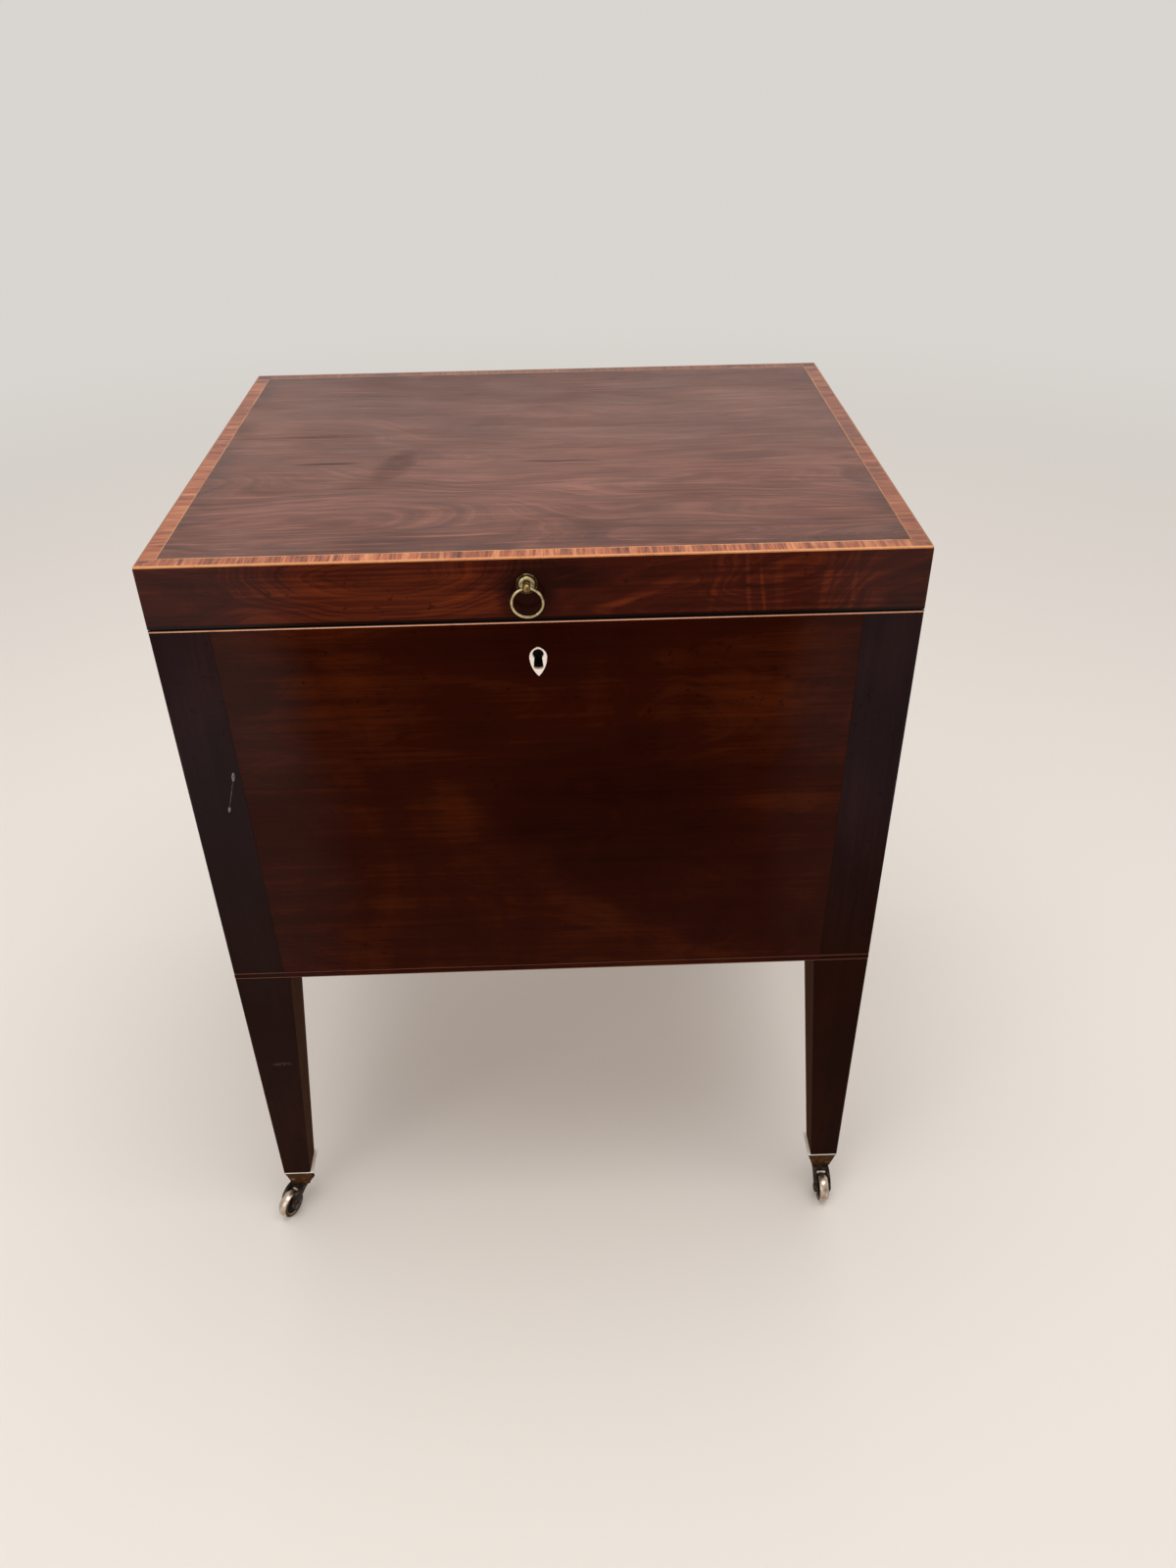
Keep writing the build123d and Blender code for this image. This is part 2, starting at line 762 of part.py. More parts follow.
def castor_axis(corner):
    """Where a castor's pivot stands in plan: under the middle of the foot."""
    sx, sy = corners[corner]
    return sx * (half_width - foot_centre), sy * (half_depth - foot_centre)


def castor_plate(corner):
    """A castor's square plate and the tapering horn below it, bored for the pivot."""
    sx, sy = corners[corner]
    x, y = castor_axis(corner)
    plate = corner_block(corner, (0, plate_size), (0, plate_size), plate_top - plate_thickness, plate_top)
    edge = (plate_size - horn_top) / 2
    centre = Pos(sx * (half_width - edge - horn_top / 2), sy * (half_depth - edge - horn_top / 2), 0)
    upper = centre * Pos(0, 0, plate_top - plate_thickness) * Rectangle(horn_top, horn_top)
    lower = Pos(x, y, horn_end) * Rectangle(horn_bottom, horn_bottom)
    plate += loft([lower, upper])
    return plate - rod(x, y, horn_end - overcut, plate_top + overcut, pivot_radius)


def castor_pivot(corner):
    """The headed spindle that holds a fork up and runs into the foot of the leg."""
    x, y = castor_axis(corner)
    under = crown_top - crown_thickness - pivot_end_gap
    spindle = rod(x, y, under, plate_top + pivot_reach, pivot_radius)
    return spindle + rod(x, y, under - pivot_head_height, under, pivot_head_radius)


def cheek_outline():
    """A fork cheek seen from the side, trailing along X: crown, swept back edge and axle boss."""
    top = crown_top
    low = crown_top - crown_thickness
    axle_z = wheel_radius
    boss = axle_boss_radius
    near = castor_trail - boss
    far = castor_trail + boss
    shoulder = (cheek_shoulder_x, top - cheek_shoulder_drop)
    throat = (cheek_throat_x, top - cheek_throat_drop)
    return make_face(
        [
            Line((-crown_back, low), (-crown_back, top)),
            Line((-crown_back, top), (crown_front, top)),
            ThreePointArc((crown_front, top), shoulder, (far, axle_z)),
            ThreePointArc((far, axle_z), (castor_trail, axle_z - boss), (near, axle_z)),
            ThreePointArc((near, axle_z), throat, (cheek_root_x, low)),
            Line((cheek_root_x, low), (-crown_back, low)),
        ]
    )


def turned(corner, local):
    """A castor piece made about its own pivot, turned and set under its leg."""
    x, y = castor_axis(corner)
    return Pos(x, y, 0) * Rot(0, 0, castor_turn[corner] - 90) * local


def castor_fork(corner):
    """A horned fork: a crown on the pivot and two cheeks that carry the axle behind it."""
    gap = wheel_width / 2 + wheel_side_clearance
    outer = gap + cheek_thickness
    fork = extrude(Plane.XZ * cheek_outline(), outer, both=True)
    low = crown_top - crown_thickness
    above = crown_top + overcut
    fork -= block(-crown_back - overcut, castor_trail + wheel_radius, -gap, gap, 0, low)
    fork -= block(crown_front, castor_trail + wheel_radius, -gap, gap, 0, above)
    fork -= rod(0, 0, low - overcut, above, pivot_radius + running_clearance)
    fork -= deep_rod(castor_trail, -outer - overcut, outer + overcut, wheel_radius, axle_radius)
    return turned(corner, fork)


def castor_wheel(corner):
    """A solid brass wheel with a crowned tread, dished sides and a hub."""
    half = wheel_width / 2
    shoulder = wheel_radius - wheel_crown
    rim = shoulder - wheel_rim_thickness
    dish = half - wheel_dish
    bore = axle_radius + running_clearance
    section = make_face(
        [
            Line((bore, -half), (bore, half)),
            Line((bore, half), (wheel_hub_radius, half)),
            Line((wheel_hub_radius, half), (wheel_hub_radius + wheel_dish, dish)),
            Line((wheel_hub_radius + wheel_dish, dish), (rim - wheel_dish, dish)),
            Line((rim - wheel_dish, dish), (rim, half)),
            Line((rim, half), (shoulder, half)),
            ThreePointArc((shoulder, half), (wheel_radius, 0), (shoulder, -half)),
            Line((shoulder, -half), (rim, -half)),
            Line((rim, -half), (rim - wheel_dish, -dish)),
            Line((rim - wheel_dish, -dish), (wheel_hub_radius + wheel_dish, -dish)),
            Line((wheel_hub_radius + wheel_dish, -dish), (wheel_hub_radius, -half)),
            Line((wheel_hub_radius, -half), (bore, -half)),
        ]
    )
    wheel = Rot(90, 0, 0) * revolve(Plane.XZ * section, Axis.Z)
    return turned(corner, Pos(castor_trail, 0, wheel_radius) * wheel)


def castor_axle(corner):
    """The riveted axle of a castor."""
    reach = wheel_width / 2 + wheel_side_clearance + cheek_thickness
    axle = deep_rod(castor_trail, -reach, reach, wheel_radius, axle_radius)
    for side in (-1, 1):
        y0, y1 = sorted((side * reach, side * (reach + axle_head_height)))
        axle += deep_rod(castor_trail, y0, y1, wheel_radius, axle_head_radius)
    return turned(corner, axle)


def save(name, piece):
    """Write a sub-part to its own file."""
    solids = piece if isinstance(piece, list) else [piece]
    loose = [solid for item in solids for solid in item.solids()]
    export_step(Compound(children=loose), f"parts/{name}.step")


def build():
    """Write every sub-part."""
    os.makedirs("parts", exist_ok=True)
    for corner in corners:
        save(f"post_{corner}", corner_post(corner))
        save(f"castor_plate_{corner}", castor_plate(corner))
        save(f"castor_fork_{corner}", castor_fork(corner))
        save(f"castor_wheel_{corner}", castor_wheel(corner))
        save(f"castor_axle_{corner}", castor_axle(corner))
    save("castor_pivots", [castor_pivot(corner) for corner in corners])
    save("front_panel", front_panel())
    save("back_panel", back_panel())
    save("left_panel", panel("left"))
    save("right_panel", panel("right"))
    save("bottom_board", bottom_board())
    save("case_top_stringing", case_top_strings())
    save("base_stringing", base_strings())
    for i, y in enumerate(partition_places(cell_row_count, half_depth - panel_thickness), start=1):
        save(f"long_partition_{i}", long_partition(y))
    for i, x in enumerate(partition_places(cell_column_count, half_width - panel_thickness), start=1):
        save(f"cross_partition_{i}", cross_partition(x))
    for side in ("front", "back", "left", "right"):
        save(f"lid_{side}_rail", lid_rail(side))
    save("lid_board", lid_board())
    save("lid_veneer", lid_field())
    save("lid_crossbanding", mitred_frame(string_size, crossband_width, veneer_bottom, veneer_thickness))
    save("lid_stringing", lid_strings())
    for side, x in zip(("left", "right"), hinge_places):
        save(f"hinge_case_leaf_{side}", hinge_leaf_solid(x, False))
        save(f"hinge_lid_leaf_{side}", hinge_leaf_solid(x, True))
    save("hinge_pins", hinge_pins())
    save("pull_rosette", rosette())
    save("pull_post", pull_post())
    save("pull_nut", pull_nut())
    save("pull_ring", pull_ring())
    save("escutcheon", escutcheon())
    save("lock_case", lock_case())
    save("lock_cover", lock_cover())
    save("lock_bolt", lock_bolt())
    save("link_plate", link_plate())
    case_places = hinge_screws() + selvedge_screws()
    save("case_screws", [screw(x, y, case_top, False) for x, y in case_places])
    lid_places = hinge_screws() + link_screws()
    save("lid_screws", [screw(x, y, lid_bottom, True) for x, y in lid_places])


build()
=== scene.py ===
"""A mahogany cellarette on tapered legs and brass castors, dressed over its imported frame.

Lengths are metres in the frame's own axes: X to the right, Y to the back, Z up from the floor.
"""
import logging
import math
from collections.abc import Callable
from dataclasses import dataclass, field
from enum import Enum

import bmesh
import bpy
from bpy.types import Material, Mesh, NodeTree, Object
from mathutils import Matrix, Vector


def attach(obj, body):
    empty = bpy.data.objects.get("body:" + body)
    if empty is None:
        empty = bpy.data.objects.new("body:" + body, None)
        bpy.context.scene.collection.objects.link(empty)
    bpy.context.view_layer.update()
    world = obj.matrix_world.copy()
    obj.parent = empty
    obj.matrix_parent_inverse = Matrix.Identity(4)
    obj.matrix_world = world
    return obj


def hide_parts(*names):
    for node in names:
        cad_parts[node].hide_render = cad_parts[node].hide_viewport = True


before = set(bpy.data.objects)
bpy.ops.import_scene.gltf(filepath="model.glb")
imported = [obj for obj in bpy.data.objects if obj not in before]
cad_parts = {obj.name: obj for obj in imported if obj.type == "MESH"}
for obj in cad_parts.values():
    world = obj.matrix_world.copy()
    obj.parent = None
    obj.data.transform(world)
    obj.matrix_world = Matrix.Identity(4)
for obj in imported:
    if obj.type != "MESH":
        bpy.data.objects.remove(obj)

LOG = logging.getLogger("cellarette")
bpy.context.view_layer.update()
MM = 0.001

# Sizes that more than one piece or finish goes by
WIDTH, DEPTH = 0.520, 0.422
HALF_WIDTH, HALF_DEPTH = WIDTH / 2, DEPTH / 2
CASE_TOP, LID_BOTTOM, LID_TOP = 0.619, 0.620, 0.665
STRING, BAND, INNER_LINE = 0.0015, 0.0102, 0.0008
BAND_END = STRING + BAND

Pair = tuple[float, float]
Triple = tuple[float, float, float]
Colour = str | Triple


def shade(code: str) -> Triple:
    """A linear colour from its six-digit screen code.

    Args:
        code: The colour as it looks on a screen, such as "#9a5a3c".

    Returns:
        The linear red, green and blue that a shader takes.
    """
    channels = [int(code[i:i + 2], 16) / 255 for i in (1, 3, 5)]
    linear = [c / 12.92 if c <= 0.04045 else ((c + 0.055) / 1.055) ** 2.4 for c in channels]
    return linear[0], linear[1], linear[2]


def rgba(colour: Colour) -> tuple[float, ...]:
    """A screen code or a linear colour as a socket takes it."""
    return (*(shade(colour) if isinstance(colour, str) else colour), 1.0)


# Node graphs


def worked(operation: str, flipped: bool = False) -> Callable[..., "Wire"]:
    """A method of a wire that adds one Math node.

    Args:
        operation: The Math node's operation.
        flipped: Whether the other value comes first, as in a reflected operator.

    Returns:
        The method.
    """
    def method(self: "Wire", *others: "Term") -> "Wire":
        """This value worked together with any other."""
        return self.graph.maths(operation, *((*others, self) if flipped else (self, *others)))

    return method


class Wire:
    """A socket in a node graph. Arithmetic on wires adds Math nodes to the graph."""

    __add__ = __radd__ = worked("ADD")
    __sub__, __rsub__ = worked("SUBTRACT"), worked("SUBTRACT", flipped=True)
    __mul__ = __rmul__ = worked("MULTIPLY")
    __truediv__, __abs__ = worked("DIVIDE"), worked("ABSOLUTE")
    __gt__, __lt__ = worked("GREATER_THAN"), worked("LESS_THAN")
    at_least, at_most = worked("MAXIMUM"), worked("MINIMUM")
    floor = worked("FLOOR")

    def __init__(self, graph: "Graph", socket: bpy.types.NodeSocket) -> None:
        """Keeps the graph and the socket that carries the value."""
        self.graph = graph
        self.socket = socket

    def beside(self, out: int | str) -> "Wire":
        """Another output of the same node."""
        return Wire(self.graph, self.socket.node.outputs[out])

    def rise(self, low: float, high: float) -> "Wire":
        """A smooth step from nought at low to one at high.

        Args:
            low: The value at which the step starts.
            high: The value at which it ends; below low for a step that falls.

        Returns:
            The step, held between nought and one.
        """
        if high < low:
            return 1 - self.rise(high, low)
        sockets = {0: self, 1: low, 2: high, 3: 0.0, 4: 1.0}
        return self.graph.node("ShaderNodeMapRange", {"interpolation_type": "SMOOTHSTEP"}, sockets)


Term = Wire | float


class Graph:
    """A node tree that is written as calls and sums."""

    def __init__(self, tree: NodeTree) -> None:
        """Keeps the tree that nodes are added to."""
        self.tree = tree

    def node(
        self,
        kind: str,
        settings: dict[str, object] | None = None,
        sockets: dict[int | str, object] | None = None,
        out: int | str = 0,
    ) -> Wire:
        """Adds one node.

        Args:
            kind: The node's type name.
            settings: Properties of the node, with "stops" for the stops of a colour ramp.
            sockets: Values or wires for its inputs, by index or name.
            out: The output that is wanted.

        Returns:
            The wire of that output.
        """
        made = self.tree.nodes.new(kind)
        for name, value in (settings or {}).items():
            if name == "stops":
                self.set_stops(made.color_ramp, value)
            else:
                setattr(made, name, value)
        for key, value in (sockets or {}).items():
            if isinstance(value, Wire):
                self.tree.links.new(value.socket, made.inputs[key])
            else:
                made.inputs[key].default_value = value
        return Wire(self, made.outputs[out])

    @staticmethod
    def set_stops(ramp: bpy.types.ColorRamp, stops: list[tuple[float, Colour]]) -> None:
        """Gives a colour ramp its stops.

        Args:
            ramp: The ramp.
            stops: Places and colours, from the lowest place to the highest.
        """
        while len(ramp.elements) < len(stops):
            ramp.elements.new(1.0)
        for element, (place, colour) in zip(ramp.elements, stops):
            element.position = place
            element.color = rgba(colour)

    def maths(self, operation: str, *terms: Term) -> Wire:
        """One Math node on values and wires."""
        return self.node("ShaderNodeMath", {"operation": operation}, dict(enumerate(terms)))

    def vector(self, x: Term, y: Term, z: Term) -> Wire:
        """Three values as one vector."""
        return self.node("ShaderNodeCombineXYZ", None, {0: x, 1: y, 2: z})

    def split(self, vector: Wire) -> tuple[Wire, Wire, Wire]:
        """The three values of a vector."""
        first = self.node("ShaderNodeSeparateXYZ", None, {0: vector})
        return first, first.beside(1), first.beside(2)

    def vectors(self, operation: str, *terms: object) -> Wire:
        """One Vector Math node."""
        return self.node("ShaderNodeVectorMath", {"operation": operation}, dict(enumerate(terms)))


class Recipe(Graph):
    """A material's node tree round one Principled shader."""

    def __init__(self, name: str) -> None:
        """Starts an empty material.

        Args:
            name: The material's name.
        """
        self.material = bpy.data.materials.new(name)
        self.material.use_nodes = True
        super().__init__(self.material.node_tree)
        self.tree.nodes.clear()
        self.shader = self.tree.nodes.new("ShaderNodeBsdfPrincipled")
        output = self.tree.nodes.new("ShaderNodeOutputMaterial")
        self.tree.links.new(self.shader.outputs[0], output.inputs[0])

    def set(self, **sockets: object) -> None:
        """Sets the shader's sockets, with underscores for the spaces of their names.

        Args:
            sockets: Numbers, colours or wires by the socket's name in lower case.
        """
        for key, value in sockets.items():
            socket = next(s for s in self.shader.inputs if s.name.lower() == key.replace("_", " "))
            if isinstance(value, Wire):
                self.tree.links.new(value.socket, socket)
            else:
                socket.default_value = rgba(value) if isinstance(value, (str, tuple)) else value

    def place(self) -> Wire:
        """The point on the surface in the object's own metres."""
        return self.node("ShaderNodeTexCoord", None, None, "Object")

    def laid(self, attribute: str, out: str = "Vector") -> Wire:
        """A named attribute of the mesh."""
        return self.node("ShaderNodeAttribute", {"attribute_name": attribute}, None, out)

    def mapped(
        self, vector: Wire, scale: Triple, turn: Triple = (0, 0, 0), shift: Triple = (0, 0, 0)
    ) -> Wire:
        """A vector turned, then stretched, then shifted.

        Args:
            vector: The point that is mapped.
            scale: How many pattern units there are to a metre on each axis.
            turn: Turns about X, Y and Z in radians.
            shift: What is added at the end.

        Returns:
            The mapped vector.
        """
        turned = vector
        if turn != (0, 0, 0):
            turned = self.node("ShaderNodeMapping", None, {"Vector": vector, "Rotation": turn})
        sockets = {"Vector": turned, "Scale": scale, "Location": shift}
        return self.node("ShaderNodeMapping", None, sockets)

    def noise(
        self,
        vector: Wire,
        scale: Triple = (1, 1, 1),
        detail: float = 3.0,
        rough: float = 0.5,
        warp: float = 0.0,
        turn: Triple = (0, 0, 0),
        shift: Triple = (0, 0, 0),
    ) -> Wire:
        """Smooth noise, about 0.2 to 0.8 round a middle of one half.

        Args:
            vector: The point that it is read at.
            scale: How many of its waves there are to a metre on each axis.
            detail: How many finer layers it has.
            rough: How strong the finer layers are.
            warp: How far it is bent by itself.
            turn: Turns about X, Y and Z in radians.
            shift: What is added to the stretched point.

        Returns:
            The noise.
        """
        spread = vector if scale == (1, 1, 1) else self.mapped(vector, scale, turn, shift)
        sockets = {
            "Vector": spread, "Scale": 1.0,
            "Detail": detail, "Roughness": rough, "Distortion": warp,
        }
        return self.node("ShaderNodeTexNoise", None, sockets)

    def warp(self, vector: Wire, reach: float) -> Wire:
        """A noisy vector for bending a pattern.

        Args:
            vector: The point that it is read at.
            reach: How far it goes each way.

        Returns:
            The vector, round nought.
        """
        sockets = {"Vector": vector, "Scale": 1.0, "Detail": 2.0, "Roughness": 0.5}
        drift = self.node("ShaderNodeTexNoise", None, sockets, 1)
        centred = self.vectors("SUBTRACT", drift, (0.5, 0.5, 0.5))
        return self.vectors("MULTIPLY", centred, (2 * reach,) * 3)

    def blend(self, first: object, second: object, share: Term, mode: str = "MIX") -> Wire:
        """Two colours mixed.

        Args:
            first: The colour at share nought.
            second: The colour at share one.
            share: How much of the second there is.
            mode: The Mix node's blend type.

        Returns:
            The mixed colour.
        """
        sides = [s if isinstance(s, Wire) else rgba(s) for s in (first, second)]
        settings = {"data_type": "RGBA", "blend_type": mode, "clamp_factor": True}
        return self.node("ShaderNodeMix", settings, {0: share, 6: sides[0], 7: sides[1]}, 2)

    def ramp(self, value: Wire, *stops: tuple[float, Colour]) -> Wire:
        """A colour looked up along a row of stops."""
        return self.node("ShaderNodeValToRGB", {"stops": list(stops)}, {0: value})

    def bump(self, height: Wire, depth: float, strength: float = 1.0) -> Wire:
        """A normal from a height between nought and one.

        Args:
            height: The height.
            depth: What a height of one stands for, in metres.
            strength: How strongly it shows.

        Returns:
            The bumped normal.
        """
        sockets = {"Strength": strength, "Distance": depth, "Height": height}
        return self.node("ShaderNodeBump", None, sockets)


# Finishes


class Grain(Enum):
    """The axis that the wood's grain runs along, as the turn that brings it to X."""

    ALONG_X = (0.0, 0.0, 0.0)
    ALONG_Y = (0.0, 0.0, -math.pi / 2)
    ALONG_Z = (0.0, math.pi / 2, 0.0)


class Figure(Enum):
    """What the grain does: straight streaks, slow clouds across them, or curled flames."""

    STRAIGHT = "straight"
    CLOUDED = "clouded"
    FLAMED = "flamed"


class Edges(Enum):
    """Which arrises of the case have worn lighter; with CASE the legs' inner faces also get painted
    bounce light, and with LID the rails' lower edge gets a painted shadow.
    """

    NONE = "none"
    CASE = "case"
    LID = "lid"


@dataclass(frozen=True)
class Finish:
    """A named finish that knows the material slot it belongs to."""

    name: str
    slot: str

    def material(self) -> Material:
        """Finds the finish's material, or makes it.

        Returns:
            The material, the same one for every piece.
        """
        known = bpy.data.materials.get(self.name)
        if known:
            return known
        r = Recipe(self.name)
        self.paint(r, r.place())
        return r.material

    def paint(self, r: Recipe, place: Wire) -> None:
        """Sets the look of a new material; every finish has its own way.

        Args:
            r: The material being built.
            place: The point on the surface.
        """
        raise NotImplementedError


@dataclass(frozen=True)
class Gloss:
    """How a polish shines."""

    rough: float
    level: float
    tint: Colour
    coat: float
    coat_rough: float = 0.2

    def give(self, r: Recipe, change: Wire) -> None:
        """Sets the shine of a material.

        Args:
            r: The material being built.
            change: What is added to the roughness from place to place.
        """
        rough = (change + self.rough).at_least(0.08)
        r.set(roughness=rough, ior=1.5, specular_ior_level=self.level)
        r.set(specular_tint=self.tint, coat_weight=self.coat, coat_roughness=self.coat_rough)


@dataclass(frozen=True)
class Cloud:
    """One lighter or darker place in the figure, on the case's X and Z."""

    x: float
    z: float
    long: float
    short: float
    tilt: float
    lift: float

    def over(self, x: Wire, z: Wire) -> Wire:
        """How much the place lifts the figure at a point.

        Args:
            x: The point's X, which may be warped.
            z: The point's Z.

        Returns:
            The lift, which fades to nought at the cloud's edge.
        """
        cos, sin = math.cos(math.radians(self.tilt)), math.sin(math.radians(self.tilt))
        right, up = x - self.x, z - self.z
        along = (right * cos + up * sin) / self.long
        across = (up * cos - right * sin) / self.short
        return (along * along + across * across).rise(1.0, 0.0) * self.lift


Places = tuple[Cloud, ...]


def places(*rows: tuple[float, ...]) -> Places:
    """Clouds from rows of X, Z, length and height in millimetres, tilt in degrees, and lift."""
    return tuple(Cloud(*(v * MM for v in row[:4]), *row[4:]) for row in rows)


# What the mahogany goes by: colours of painted sheen with polish bloom and of scuff dust, painted
# bounce light on the legs' inner faces, and heights of changes, one of them the painted shadow
# under the lid's rails
BLOOM_AND_SHEEN, CHALK = (0.40, 0.37, 0.36), (0.42, 0.38, 0.34)
INNER_BOUNCE_LIGHT = ("#553622", "#352015")
SKIN = 0.0006
LEG_TOP = 0.2997
RAIL_TOP = 0.6636
# Heights where the painted shadow under the lid's rails begins and is full
LID_SHADE = (0.6228, 0.6214)


@dataclass(frozen=True)
class PolishedMahogany(Finish):
    """Old French-polished mahogany: fibre, pores, figure, and a soft shine with dulled patches."""

    deep: Colour
    body: Colour
    light: Colour
    grain: Grain
    figure: Figure
    gloss: Gloss
    edges: Edges = Edges.NONE
    clouds: Places = ()
    swells: Places = ()
    scuffs: Places = ()
    # Places of painted sheen together with milky bloom in the polish
    veils: Places = ()
    sway: float = 0.03
    drift: float = 0.012
    foot_tint: Colour | None = None

    def paint(self, r: Recipe, place: Wire) -> None:
        """Sets the look of a new material.

        Args:
            r: The material being built.
            place: The point on the surface.
        """
        x, y, z = r.split(place)
        run = r.mapped(place, (1, 1, 1), self.grain.value)
        lines = r.noise(run, (9, 420, 420), 3, 0.55, 0.15)
        fibre = r.noise(run, (45, 1500, 1500), 2, 0.5)
        pores = r.noise(run, (85, 2100, 2100), 1, 0.5, shift=(9, 1, 4)).rise(0.60, 0.72)
        sway = r.split(r.warp(r.mapped(place, (21, 21, 30), shift=(2, 2, 2)), self.sway))
        drift = r.split(r.warp(r.mapped(place, (14, 14, 22), shift=(5, 1, 7)), self.drift))
        swirl = r.noise(run, (3.6, 11, 11), 2, 0.5, 0.6, shift=(0.6, 3.3, 4.4))
        for swell in self.swells:
            swirl = swirl + swell.over(x + sway[0], z + sway[2])
        depth = self.depth(r, run, lines, swirl)
        for cloud in self.clouds:
            depth = depth + cloud.over(x + drift[0], z + drift[2])
        tone = r.ramp(depth, (0.30, self.deep), (0.5, self.body), (0.74, self.light))
        pits = r.noise(place, (150, 150, 210), 2, 0.5, shift=(3, 8, 1)).rise(0.66, 0.74)
        tone = r.blend(tone, self.deep, fibre.rise(0.5, 0.75) * 0.3 + pores * 0.35 + pits * 0.6)
        if self.foot_tint:
            tone = r.blend(tone, self.foot_tint, z.rise(0.52, 0.27), "MULTIPLY")
        dull = r.noise(place, (7, 7, 7), 4, 0.6, shift=(4, 2, 6))
        specks = r.noise(place, (260, 260, 260), 2, 0.5).rise(0.62, 0.74)
        shine = (dull - 0.5) * 0.22 + pores * 0.08 + specks * 0.08
        wear = self.wear(r, place)
        if wear is not None:
            tone = r.blend(tone, self.light, wear * 0.7)
        if self.edges is Edges.CASE:
            inner = (abs(x) < HALF_WIDTH - SKIN) * (abs(y) < HALF_DEPTH - SKIN) * (z < LEG_TOP)
            # Painted bounce light: the legs' inner faces below the case are lightened, and their
            # shine is made duller
            tone = r.blend(tone, r.blend(*INNER_BOUNCE_LIGHT, lines), inner * 0.65)
            shine = shine + inner * 0.55
        if self.edges is Edges.LID:
            # Painted shadow: the rails' lower edge goes nearly black where the gap under the lid
            # shades it
            tone = r.blend(tone, "#030101", z.rise(*LID_SHADE) * 0.97)
        # Painted sheen together with polish bloom: a grey veil laid over the colour, on faces in
        # front of the middle
        for veil in self.veils:
            tone = r.blend(tone, BLOOM_AND_SHEEN, veil.over(x + drift[0], z) * (y < 0.0))
        if self.scuffs:
            chalk = r.noise(place, (500, 500, 300), 2, 0.6).rise(0.3, 0.55)
            for scuff in self.scuffs:
                tone = r.blend(tone, CHALK, scuff.over(x, z) * chalk * (y < 0.0))
        height = lines * 0.35 + fibre * 0.25 - pores * 0.4 + dull * 0.6
        r.set(base_color=tone, normal=r.bump(height, 0.00012, 0.5))
        self.gloss.give(r, shine)

    def depth(self, r: Recipe, run: Wire, lines: Wire, swirl: Wire) -> Wire:
        """How light the figure is at a point, round one half.

        Args:
            r: The material being built.
            run: The point, with X along the grain.
            lines: The fine lines of the grain.
            swirl: A slow height whose contours are the growth rings.

        Returns:
            The figure's lightness.
        """
        clouds = r.noise(run, (5, 11, 11), 3, 0.55, 0.5, shift=(3.1, 0.4, 7.7))
        streaks = r.noise(run, (4, 75, 75), 4, 0.6, 0.35, shift=(1.7, 5.2, 2.3))
        if self.figure is Figure.STRAIGHT:
            return clouds * 0.4 + streaks * 0.12 + lines * 0.1 + 0.19
        rings = r.noise(r.vector(swirl * 24, clouds * 2.5, 0.0), rough=0.62)
        if self.figure is Figure.CLOUDED:
            bars = r.noise(run, (12, 5, 5), 3, 0.6, 1.2, turn=(0, 0, 0.55), shift=(2, 8, 1))
            return clouds * 0.22 + bars * 0.24 + streaks * 0.2 + rings * 0.18 + lines * 0.16 - 0.01
        return clouds * 0.22 + streaks * 0.18 + rings * 0.5 + lines * 0.36 - 0.13

    def wear(self, r: Recipe, place: Wire) -> Wire | None:
        """Where hands and knocks have rubbed the arrises lighter.

        Args:
            r: The material being built.
            place: The point on the surface.

        Returns:
            The share of wear, or None where this finish has none.
        """
        if self.edges is Edges.NONE:
            return None
        x, y, z = r.split(place)
        from_side = HALF_WIDTH - abs(x)
        from_face = HALF_DEPTH - abs(y)
        patches = r.noise(place, (30, 30, 16), 3, 0.6).rise(0.46, 0.66)
        upright = from_side.at_least(from_face).rise(0.0022, 0.0002)
        if self.edges is Edges.CASE:
            return upright * patches
        level = abs(z - RAIL_TOP).rise(0.0012, 0.0002)
        return upright.at_least(level * 0.5) * patches


